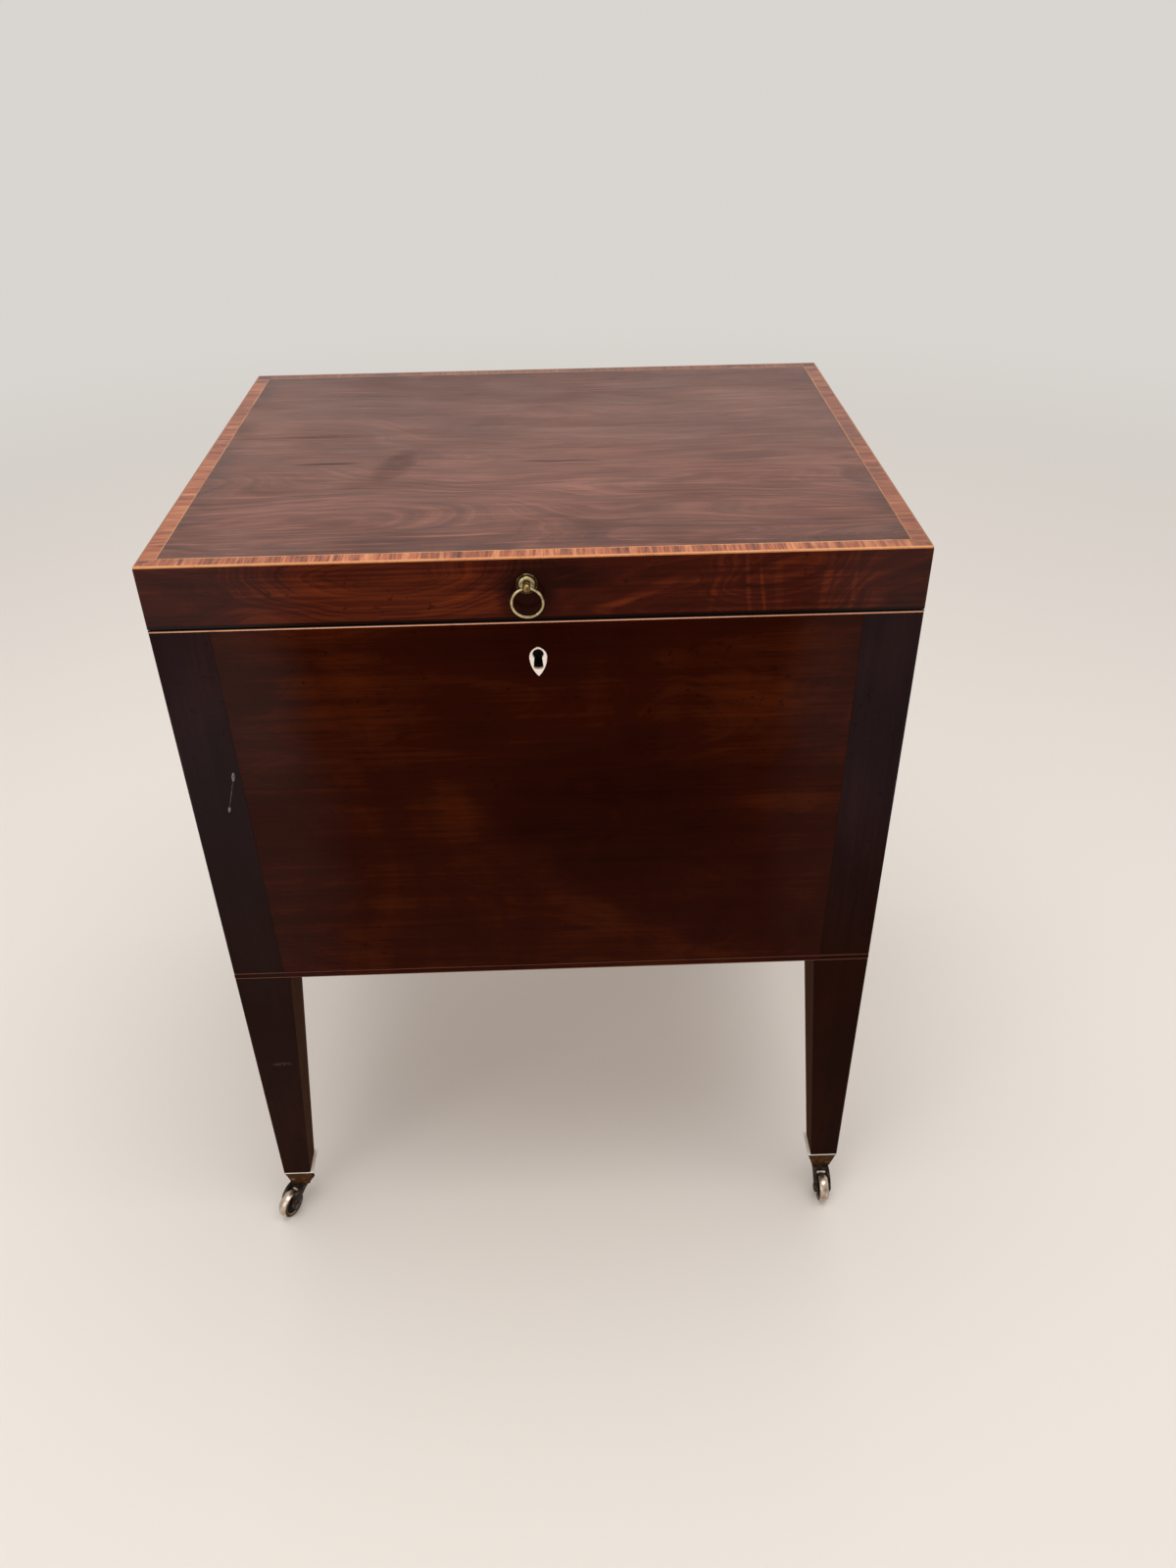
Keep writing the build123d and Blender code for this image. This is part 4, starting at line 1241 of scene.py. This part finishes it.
def curve_points(first: Pair, middle: Pair, last: Pair, count: int) -> list[Pair]:
    """Points along a smooth bend through three points.

    Args:
        first: Where the bend starts.
        middle: Where it is half way.
        last: Where it ends; this point is left out.
        count: How many points there are.

    Returns:
        The points.
    """
    bend = []
    pull = [2 * m - (a + b) / 2 for a, m, b in zip(first, middle, last)]
    for i in range(count):
        t = i / count
        bend.append(tuple(
            (1 - t) ** 2 * a + 2 * t * (1 - t) * c + t * t * b for a, c, b in zip(first, pull, last)
        ))
    return bend


# Geometry Nodes


class Tree(Graph):
    """A Geometry Nodes tree with named inputs."""

    def __init__(self, name: str, inputs: dict[str, tuple[str, object]]) -> None:
        """Starts a tree.

        Args:
            name: The tree's name.
            inputs: For each input its socket type and default value.
        """
        super().__init__(bpy.data.node_groups.new(name, "GeometryNodeTree"))
        face = self.tree.interface
        face.new_socket(name="Geometry", in_out="INPUT", socket_type="NodeSocketGeometry")
        for label, (kind, value) in inputs.items():
            socket = face.new_socket(name=label, in_out="INPUT", socket_type=kind)
            if value is not None:
                socket.default_value = value
        face.new_socket(name="Geometry", in_out="OUTPUT", socket_type="NodeSocketGeometry")
        self.entry = self.tree.nodes.new("NodeGroupInput")

    def given(self, label: str) -> Wire:
        """The wire of a named input."""
        return Wire(self, self.entry.outputs[label])

    def moved(self, shape: Wire, shift: object = (0, 0, 0), turn: object = (0, 0, 0)) -> Wire:
        """A shape turned, then shifted."""
        sockets = {"Geometry": shape, "Translation": shift, "Rotation": turn}
        return self.node("GeometryNodeTransform", None, sockets)

    def chance(self, low: float, high: float, number: Wire, seed: Term) -> Wire:
        """A random value for each number, the same on every run."""
        sockets = {2: low, 3: high, "ID": number, "Seed": seed}
        return self.node("FunctionNodeRandomValue", {"data_type": "FLOAT"}, sockets, 1)

    def noted(self, shape: Wire, name: str, value: Wire, kind: str, domain: str) -> Wire:
        """Keeps a value on a shape.

        Args:
            shape: The shape.
            name: What the value is called.
            value: The value, as the shape's faces or points give it.
            kind: Its data type.
            domain: FACE or POINT.

        Returns:
            The shape that carries the value.
        """
        settings = {"data_type": kind, "domain": domain}
        sockets = {"Geometry": shape, "Name": name, "Value": value}
        return self.node("GeometryNodeStoreNamedAttribute", settings, sockets)

    def cone(self, sides: int, top: Term, bottom: Term, depth: Term) -> Wire:
        """A tapered round bar that stands on nought.

        Args:
            sides: How many sides stand for its round.
            top: Its upper radius.
            bottom: Its lower radius.
            depth: Its height.

        Returns:
            The bar.
        """
        return self.node("GeometryNodeMeshCone", None, {
            "Vertices": sides, "Side Segments": 1,
            "Radius Top": top, "Radius Bottom": bottom, "Depth": depth,
        })

    def joined(self, shapes: list[Wire]) -> Wire:
        """Joins shapes.

        Args:
            shapes: The shapes.

        Returns:
            All of them as one.
        """
        join = self.tree.nodes.new("GeometryNodeJoinGeometry")
        for shape in shapes:
            self.tree.links.new(shape.socket, join.inputs[0])
        return Wire(self, join.outputs[0])

    def close(self, shape: Wire) -> NodeTree:
        """Ends the tree in Realize Instances and Set Material.

        Args:
            shape: What the tree has made.

        Returns:
            The finished tree.
        """
        real = self.node("GeometryNodeRealizeInstances", None, {"Geometry": shape})
        sockets = {"Geometry": real, "Material": self.given("Material")}
        done = self.node("GeometryNodeSetMaterial", None, sockets)
        exit_node = self.tree.nodes.new("NodeGroupOutput")
        self.tree.links.new(done.socket, exit_node.inputs[0])
        return self.tree


def grown(
    tree: NodeTree, finish: Finish, values: dict[str, object], points: list[Triple] | None = None
) -> Mesh:
    """Runs a Geometry Nodes tree once.

    Args:
        tree: The tree.
        finish: The material that the tree sets.
        values: A value for each named input.
        points: The points that the tree starts from, if it needs any.

    Returns:
        The plain mesh that the tree makes.
    """
    seeds = bpy.data.meshes.new("seeds")
    seeds.from_pydata(points or [], [], [])
    holder = bpy.data.objects.new("holder", seeds)
    bpy.context.scene.collection.objects.link(holder)
    modifier = holder.modifiers.new("growth", "NODES")
    modifier.node_group = tree
    sockets = {
        item.name: item.identifier for item in tree.interface.items_tree
        if item.item_type == "SOCKET" and item.in_out == "INPUT"
    }
    for label, value in {**values, "Material": finish.material()}.items():
        modifier[sockets[label]] = value
    graph = bpy.context.evaluated_depsgraph_get()
    mesh = bpy.data.meshes.new_from_object(holder.evaluated_get(graph))
    holder.modifiers.remove(modifier)
    bpy.data.objects.remove(holder)
    return mesh


def strip_tree() -> NodeTree:
    """Makes the tree that lays lengths of veneer or string round a mitred rectangle.

    Returns:
        The tree, which needs no points.
    """
    tree = Tree("mitred_strips", {
        "Width": ("NodeSocketFloat", 0.5), "Depth": ("NodeSocketFloat", 0.4),
        "Strip": ("NodeSocketFloat", 0.01), "Thickness": ("NodeSocketFloat", 0.001),
        "Top": ("NodeSocketFloat", 0.0), "Length": ("NodeSocketFloat", 0.05),
        "Seed": ("NodeSocketInt", 1), "Material": ("NodeSocketMaterial", None),
    })
    strip, thick = tree.given("Strip"), tree.given("Thickness")
    sides = []
    for side in range(4):
        run, other = tree.given("Width"), tree.given("Depth")
        if side % 2:
            run, other = other, run
        pieces = (run / tree.given("Length") + 0.5).floor().at_least(1.0)
        step = run / pieces
        bar = tree.node("GeometryNodeMeshCube", None, {
            "Size": tree.vector(run, strip, thick),
            "Vertices X": pieces + 1, "Vertices Y": 2, "Vertices Z": 2,
        })
        x, y, z = tree.split(tree.node("GeometryNodeInputPosition"))
        seed = tree.given("Seed") + side * 17
        along = (x + run / 2) / step
        tone = tree.chance(0.0, 1.0, along.floor(), seed)
        bar = tree.noted(bar, "tone", tone, "FLOAT", "FACE")
        column = (along + 0.5).floor()
        inside = (column > 0.5) * (column < pieces - 0.5)
        limit = run / 2 - strip * (y > 0.0)
        jitter = tree.chance(-0.3, 0.3, column, seed + 5) * step * inside
        placed = (x + jitter).at_most(limit).at_least(limit * -1.0)
        sockets = {"Geometry": bar, "Position": tree.vector(placed, y, z)}
        bar = tree.node("GeometryNodeSetPosition", None, sockets)
        spot = tree.node("GeometryNodeInputPosition")
        bar = tree.noted(bar, "lay", spot, "FLOAT_VECTOR", "POINT")
        shift = tree.vector(0.0, (other - strip) * -0.5, tree.given("Top") - thick / 2)
        bar = tree.moved(bar, shift)
        sides.append(tree.moved(bar, (0, 0, 0), (0, 0, side * math.pi / 2)))
    return tree.close(tree.joined(sides))


def screw_tree() -> NodeTree:
    """Makes the tree that sets a slotted screw at each point, each turned as it was left.

    Returns:
        The tree.
    """
    tree = Tree("wood_screws", {
        "Head Radius": ("NodeSocketFloat", 0.0025), "Head Height": ("NodeSocketFloat", 0.0014),
        "Shank Radius": ("NodeSocketFloat", 0.0012), "Shank Length": ("NodeSocketFloat", 0.0096),
        "Slot Width": ("NodeSocketFloat", 0.0005), "Slot Depth": ("NodeSocketFloat", 0.0005),
        "Tilt": ("NodeSocketFloat", 0.0), "Seed": ("NodeSocketInt", 1),
        "Material": ("NodeSocketMaterial", None),
    })
    head_radius, head_height = tree.given("Head Radius"), tree.given("Head Height")
    shank_radius, shank_length = tree.given("Shank Radius"), tree.given("Shank Length")
    head = tree.cone(32, head_radius, shank_radius, head_height)
    head = tree.moved(head, tree.vector(0.0, 0.0, head_height * -1.0))
    slot_width, slot_depth = tree.given("Slot Width"), tree.given("Slot Depth")
    slot_size = tree.vector(head_radius * 2.2, slot_width, slot_depth * 2)
    slot = tree.node("GeometryNodeMeshCube", None, {"Size": slot_size})
    settings = {"operation": "DIFFERENCE", "solver": "EXACT"}
    head = tree.node("GeometryNodeMeshBoolean", settings, {0: head, 1: slot})
    shank = tree.cone(16, shank_radius, shank_radius / 3, shank_length)
    shank = tree.moved(shank, tree.vector(0.0, 0.0, (head_height + shank_length) * -1.0))
    whole = tree.joined([head, shank])
    turn = tree.chance(-1.4, 1.4, tree.node("GeometryNodeInputIndex"), tree.given("Seed"))
    stood = tree.vector(tree.given("Tilt"), 0.0, turn)
    seeds = tree.given("Geometry")
    spots = tree.node("GeometryNodeMeshToPoints", {"mode": "VERTICES"}, {"Mesh": seeds})
    sockets = {"Points": spots, "Instance": whole, "Rotation": stood}
    return tree.close(tree.node("GeometryNodeInstanceOnPoints", None, sockets))


# The cellarette


@dataclass
class Strips:
    """Lays veneer and string in mitred lengths round the plan of the case."""

    tree: NodeTree = field(default_factory=strip_tree)

    def lay(
        self, finish: Finish, inset: float, size: Pair, top: float, length: float, seed: int
    ) -> Mesh:
        """Lays one ring of strips.

        Args:
            finish: What the strips are dressed in.
            inset: How far in from the case's outer faces they lie.
            size: Their width and thickness.
            top: The height of their upper face.
            length: About how long each length is.
            seed: What sets the joints and the tones.

        Returns:
            The ring's mesh.
        """
        strip, thickness = size
        return grown(self.tree, finish, {
            "Width": WIDTH - 2 * inset, "Depth": DEPTH - 2 * inset, "Strip": strip,
            "Thickness": thickness, "Top": top, "Length": length, "Seed": seed,
        })


@dataclass
class Carcass:
    """The case: posts that run down into legs, walls, floor, partitions and base lines."""

    strips: Strips
    arris: float = 0.0005
    shortest_arris: float = 0.03
    line: Pair = (0.001, 0.001)
    line_length: float = 0.19
    line_tops: Pair = (0.301, 0.306)

    def build(self) -> None:
        """Makes the eased posts and base lines and dresses what stays from the CAD."""
        for corner in ("front_left", "front_right", "back_left", "back_right"):
            node = f"post_{corner}"
            mesh = eased(node, self.arris, self.shortest_arris)
            settled(f"{node}_polished", mesh, "carcass", (node,), DARK_MAHOGANY)
        dressed(FRONT_MAHOGANY, "front_panel")
        dressed(BACK_MAHOGANY, "back_panel")
        dressed(SIDE_MAHOGANY, "left_panel", "right_panel")
        dressed(CASE_BOXWOOD, "case_top_stringing")
        dressed(DEAL_X, "bottom_board", "long_partition_1", "long_partition_2")
        dressed(DEAL_Y, "cross_partition_1", "cross_partition_2", "cross_partition_3")
        self.base_lines()

    def base_lines(self) -> None:
        """Lays the two fine lines round the foot of the case."""
        work = bmesh.new()
        for top in self.line_tops:
            seed = int(top * 1000)
            ring = self.strips.lay(BASE_BOXWOOD, 0.0, self.line, top, self.line_length, seed)
            work.from_mesh(ring)
        lines = rounded_frame(work, self.arris)
        settled("base_lines", lines, "carcass", ("base_stringing",), BASE_BOXWOOD)


@dataclass
class Lid:
    """The lid: four rails, a board under veneer, crossbanding and two lines of string."""

    strips: Strips
    veneer: float = 0.001
    string_length: float = 0.3
    veneer_length: float = 0.058
    arris: float = 0.0006

    def build(self) -> None:
        """Makes the rails, the banding and the strings."""
        self.rails()
        dressed(TOP_MAHOGANY, "lid_veneer")
        dressed(DEAL_X, "lid_board")
        lay, length = self.strips.lay, self.string_length
        size = (BAND, self.veneer)
        banding = lay(CROSSBANDING, STRING, size, LID_TOP, self.veneer_length, seed=4)
        settled("lid_banding", banding, "lid", ("lid_crossbanding",), CROSSBANDING)
        size = (STRING, STRING)
        work = bmesh.new()
        work.from_mesh(lay(ARRIS_BOXWOOD, 0.0, size, LID_TOP, length, seed=8))
        outer = rounded_frame(work, self.arris)
        settled("lid_arris_string", outer, "lid", ("lid_stringing",), ARRIS_BOXWOOD)
        size = (INNER_LINE, self.veneer)
        inner = lay(INNER_BOXWOOD, BAND_END, size, LID_TOP, length, seed=12)
        settled("lid_inner_string", inner, "lid", (), INNER_BOXWOOD)

    def rails(self) -> None:
        """Makes one frame of the four mitred rails, a finish to each side, its corners eased."""
        finishes = {
            "front": LID_FRONT_MAHOGANY, "back": LID_BACK_MAHOGANY,
            "left": LID_SIDE_MAHOGANY, "right": LID_SIDE_MAHOGANY,
        }
        nodes = tuple(f"lid_{side}_rail" for side in finishes)
        work = bmesh.new()
        for index, node in enumerate(nodes):
            rail = merged(node)
            for face in rail.faces:
                face.material_index = index
            mesh = bpy.data.meshes.new(node)
            rail.to_mesh(mesh)
            rail.free()
            work.from_mesh(mesh)
            bpy.data.meshes.remove(mesh)
        settled("lid_rails", rounded_frame(work, self.arris), "lid", nodes, *finishes.values())


@dataclass
class RingPull:
    """The ring pull: a turned backplate, a post with a collar and ball, and a worn ring."""

    x: float = -0.0064
    z: float = 0.6466
    ring_radius: float = 0.0104
    wire: float = 0.0011
    reach: float = 0.0076
    lathe: Lathe = field(default_factory=lambda: Lathe(72))

    def build(self) -> None:
        """Makes the turned pieces and the ring."""
        self.backplate()
        dressed(POST_BRASS, "pull_post")
        dressed(IRON, "pull_nut")
        self.ring()

    @staticmethod
    def dirt_and_shade(radius: float, height: float) -> float:
        """How much dirt lies on the plate: most in its hollow, some round the post and on the rim.

        Args:
            radius: A profile point's radius in millimetres.
            height: Its height.

        Returns:
            The dirt.
        """
        if 5.3 < radius < 6.5 and height > 0.7:
            return 1.2
        if radius < 2.6 and height > 1:
            return 1.0
        return 0.5 if radius > 5.3 else 0.05

    def backplate(self) -> None:
        """Turns the backplate: a flat rim, a hollow, a bead and a dome."""
        facing = Matrix.Rotation(math.pi / 2, 4, "X")
        place = Matrix.Translation((self.x, -HALF_DEPTH, self.z)) @ facing
        profile = [
            (1.6, 0.0), (7.1, 0.0), (7.2, 0.1), (7.2, 0.6),
            *curve_points((7.2, 0.6), (6.95, 1.15), (6.45, 0.95), 6),
            *curve_points((6.35, 0.85), (6.0, 0.85), (5.6, 1.15), 4),
            *curve_points((5.5, 1.2), (4.75, 1.95), (3.3, 2.2), 8),
            *curve_points((3.3, 2.2), (2.4, 2.15), (1.6, 2.2), 3), (1.6, 2.2),
        ]
        dirt = [self.dirt_and_shade(radius, height) for radius, height in profile] + [0.0]
        mesh = self.lathe.turn(profile + [(1.6, 0.0)], place, dirt)
        settled("pull_backplate", mesh, "lid", ("pull_rosette",), TURNED_BRASS)

    def ring(self) -> None:
        """Makes the ring, a little thinner where it hangs in the eye, with painted shade on its
        sides and back.
        """
        centre = Vector((self.x, -HALF_DEPTH - self.reach, self.z - self.ring_radius))
        around, across = 96, 16
        rub_in_eye, uneven = 0.08, 0.02
        marks_across, marks_along = 0.001, 0.01
        painted_shade_beside, painted_shade_behind = 1.1, 0.6
        points, lay, dirt, faces = [], [], [], []
        for i in range(around):
            turn = 2 * math.pi * i / around
            worn = rub_in_eye * max(0.0, math.cos(turn)) ** 8 + uneven * math.sin(3 * turn + 1)
            thick = self.wire * (1 - worn)
            a, b = i * across, (i + 1) % around * across
            for j in range(across):
                bend = 2 * math.pi * j / across
                out = self.ring_radius + thick * math.cos(bend)
                back = math.sin(bend)
                point = Vector((out * math.sin(turn), thick * back, out * math.cos(turn)))
                points.append(centre + point)
                lay.extend((bend * marks_across, turn * marks_along, 0.0))
                # Painted shade and reflection: the wire's sides and back are darkened, standing for
                # the dark wood they face
                beside = abs(math.cos(bend)) ** 3
                dirt.append(painted_shade_beside * beside + painted_shade_behind * max(0.0, back))
                near = (j + 1) % across
                faces.append([a + j, a + near, b + near, b + j])
        mesh = outward(worked_metal(points, faces, lay, dirt))
        settled("pull_ring_worn", mesh, "ring", ("pull_ring",), RING_BRASS)


@dataclass
class Castors:
    """Four castors: plate and horn, fork, wheel, axle and pivot. Wheel sizes are millimetres."""

    turns: dict[str, float] = field(default_factory=lambda: {
        "front_left": -30.0, "front_right": 0.0, "back_right": 142.0, "back_left": 178.0,
    })
    foot: Pair = (0.2478, 0.1988)
    trail: float = 0.021
    horn_arris: float = 0.0003
    fork_arris: float = 0.00035
    radius: float = 13.5
    crown: float = 1.3
    crown_power: float = 2.2
    half_width: float = 4.2
    lathe: Lathe = field(default_factory=Lathe)

    def build(self) -> None:
        """Makes the wheels and eases the plates and forks."""
        for corner, degrees in self.turns.items():
            plate, fork = f"castor_plate_{corner}", f"castor_fork_{corner}"
            horn = eased(plate, self.horn_arris)
            settled(f"castor_horn_{corner}", horn, "carcass", (plate,), HORN_BRASS)
            cheeks = eased(fork, self.fork_arris)
            settled(f"castor_cheeks_{corner}", cheeks, f"fork_{corner}", (fork,), FORK_BRASS)
            self.wheel(corner, degrees)
        dressed(TURNED_IRON, *[f"castor_axle_{corner}" for corner in self.turns], "castor_pivots")

    @staticmethod
    def dirt_and_shade(radius: float, height: float) -> float:
        """How much darker a wheel is: painted shade on its sides, most in its dish where dirt also
        settles, some on its faces, none on its tread.

        Args:
            radius: A profile point's radius in millimetres.
            height: Its distance from the wheel's middle.

        Returns:
            The painted shade and dirt.
        """
        if radius < 9.4:
            return 1.9
        return 1.3 if abs(height) > 4.1 else 0.0

    def wheel(self, corner: str, degrees: float) -> None:
        """Turns one wheel with a crowned tread and dished sides.

        Args:
            corner: The corner that the castor stands at.
            degrees: How far the castor has turned from straight ahead.
        """
        back = "back" in corner
        x = self.foot[0] if "right" in corner else -self.foot[0]
        y = self.foot[1] if back else -self.foot[1]
        angle = math.radians(degrees)
        heading = Vector((math.sin(angle), -math.cos(angle), 0))
        centre = Vector((x, y, self.radius * MM)) + heading * self.trail
        axle = Vector((0, 0, 1)).cross(heading)
        place = Matrix.Translation(centre) @ axle.to_track_quat("Z", "Y").to_matrix().to_4x4()
        side = [
            (1.85, 4.2), (4.2, 4.2), (4.5, 4.05), (5.2, 3.25), (5.6, 3.2), (8.2, 3.2), (8.7, 3.3),
            (9.6, 4.05), (9.9, 4.2), (11.9, 4.2), (12.2, 4.15),
        ]
        tread = [
            (self.radius - self.crown * (abs(h) / self.half_width) ** self.crown_power, h)
            for h in (3.9, 3.4, 2.6, 1.7, 0.8, 0.0, -0.8, -1.7, -2.6, -3.4, -3.9)
        ]
        profile = side + tread + [(r, -h) for r, h in reversed(side)] + [side[0]]
        dirt = [self.dirt_and_shade(radius, height) for radius, height in profile]
        mesh = outward(self.lathe.turn(profile, place, dirt))
        # The back wheels take the darker copy as painted shade
        node, brass = f"castor_wheel_{corner}", SHADED_WHEEL_BRASS if back else WHEEL_BRASS
        settled(f"castor_tread_{corner}", mesh, f"wheel_{corner}", (node,), brass)


@dataclass
class Fittings:
    """Hinges, lock, link plate, escutcheon and the screws that hold them."""

    screws: NodeTree = field(default_factory=screw_tree)
    bone_arris: float = 0.0003
    hinge_x: Pair = (-0.165, 0.165)
    hinge_screw_y: float = 0.20155
    hinge_screw_step: float = 0.015
    lock_x: float = -0.001
    selvedge_y: float = -0.2015
    selvedge_screw_x: float = 0.035
    link_y: float = -0.2
    link_screw_x: float = 0.021

    def build(self) -> None:
        """Eases the bone shield, dresses the metalwork and sets the screws."""
        shield = eased("escutcheon", self.bone_arris)
        settled("escutcheon_shield", shield, "carcass", ("escutcheon",), BONE)
        for part in ("case", "lid"):
            dressed(ANTIQUE_BRASS, f"hinge_{part}_leaf_left", f"hinge_{part}_leaf_right")
        dressed(ANTIQUE_BRASS, "link_plate")
        dressed(LOCK_BRASS, "lock_case", "lock_cover")
        dressed(IRON, "hinge_pins", "lock_bolt")
        self.set_screws()

    def set_screws(self) -> None:
        """Sets the screws of the case, heads up, and those of the lid, heads down."""
        step, y = self.hinge_screw_step, self.hinge_screw_y
        hinge = [(x + i * step, y) for x in self.hinge_x for i in (-1, 0, 1)]
        selvedge = [(self.lock_x + i * self.selvedge_screw_x, self.selvedge_y) for i in (-1, 1)]
        link = [(self.lock_x + i * self.link_screw_x, self.link_y) for i in (-1, 0, 1)]
        for node, body, spots, z, tilt in (
            ("case_screws", "carcass", hinge + selvedge, CASE_TOP, 0.0),
            ("lid_screws", "lid", hinge + link, LID_BOTTOM, math.pi),
        ):
            points = [(x, y, z) for x, y in spots]
            mesh = grown(self.screws, IRON, {"Tilt": tilt, "Seed": len(points)}, points)
            settled(f"{node}_slotted", mesh, body, (node,), IRON)


@dataclass
class Studio:
    """A pale floor, soft light and the camera at the viewing angle."""

    camera_place: Triple = (0.0165, -0.9323, 0.9883)
    camera_tilt: float = 55.06
    camera_yaw: float = 1.48
    camera_turn: float = -2.99
    lens: float = 27.52
    sky: Triple = (0.64, 0.64, 0.65)
    reach: float = 14.0

    def build(self) -> None:
        """Sets up floor, light and camera."""
        self.floor()
        self.world()
        self.lamp("overhead", (0.1, -0.15, 2.4), (0.0, 0.0, 0.4), size=1.8, power=30.0)
        self.lamp("front_fill", (-1.6, -2.2, 1.7), (0.0, -0.1, 0.35), size=1.6, power=14.0)
        self.camera()
        bpy.context.scene.view_settings.view_transform = "Standard"

    def floor(self) -> None:
        """Lays the floor."""
        mesh = bpy.data.meshes.new("floor")
        quarters = ((-1, -1), (1, -1), (1, 1), (-1, 1))
        corners = [(x * self.reach, y * self.reach, 0) for x, y in quarters]
        mesh.from_pydata(corners, [], [(0, 1, 2, 3)])
        finished("studio_floor", mesh, FLOOR)

    def world(self) -> None:
        """Lights the scene evenly from all round."""
        world = bpy.data.worlds.new("studio")
        bpy.context.scene.world = world
        world.use_nodes = True
        graph = Graph(world.node_tree)
        background = world.node_tree.nodes["Background"]
        mixed = graph.node("ShaderNodeMix", {"data_type": "RGBA"}, {
            0: looked_at(graph), 6: rgba(self.sky), 7: rgba(BACKDROP),
        }, 2)
        graph.tree.links.new(mixed.socket, background.inputs["Color"])

    def lamp(self, name: str, place: Triple, aim: Triple, size: float, power: float) -> None:
        """Hangs one soft square lamp.

        Args:
            name: The lamp's name.
            place: Where it hangs.
            aim: The point that it faces.
            size: Its side in metres.
            power: Its power in watts.
        """
        light = bpy.data.lights.new(name, "AREA")
        light.size = size
        light.energy = power
        hung = bpy.data.objects.new(name, light)
        hung.location = place
        hung.rotation_euler = (Vector(aim) - Vector(place)).to_track_quat("-Z", "Y").to_euler()
        bpy.context.scene.collection.objects.link(hung)

    def camera(self) -> None:
        """Sets the camera where the picture was taken from."""
        data = bpy.data.cameras.new("camera")
        data.lens = self.lens
        data.sensor_width = 36.0
        data.clip_end = 60.0
        eye = bpy.data.objects.new("camera", data)
        turned = (
            Matrix.Rotation(math.radians(self.camera_turn), 4, "Z")
            @ Matrix.Rotation(math.radians(self.camera_tilt), 4, "X")
            @ Matrix.Rotation(math.radians(self.camera_yaw), 4, "Y")
        )
        eye.matrix_world = Matrix.Translation(self.camera_place) @ turned
        bpy.context.scene.collection.objects.link(eye)
        bpy.context.scene.camera = eye


def main() -> None:
    """Builds the cellarette piece by piece, then the studio."""
    logging.basicConfig(level=logging.INFO, format="%(message)s")
    strips = Strips()
    for part in (Carcass(strips), Lid(strips), RingPull(), Castors(), Fittings(), Studio()):
        part.build()


if __name__ == "__main__":
    main()
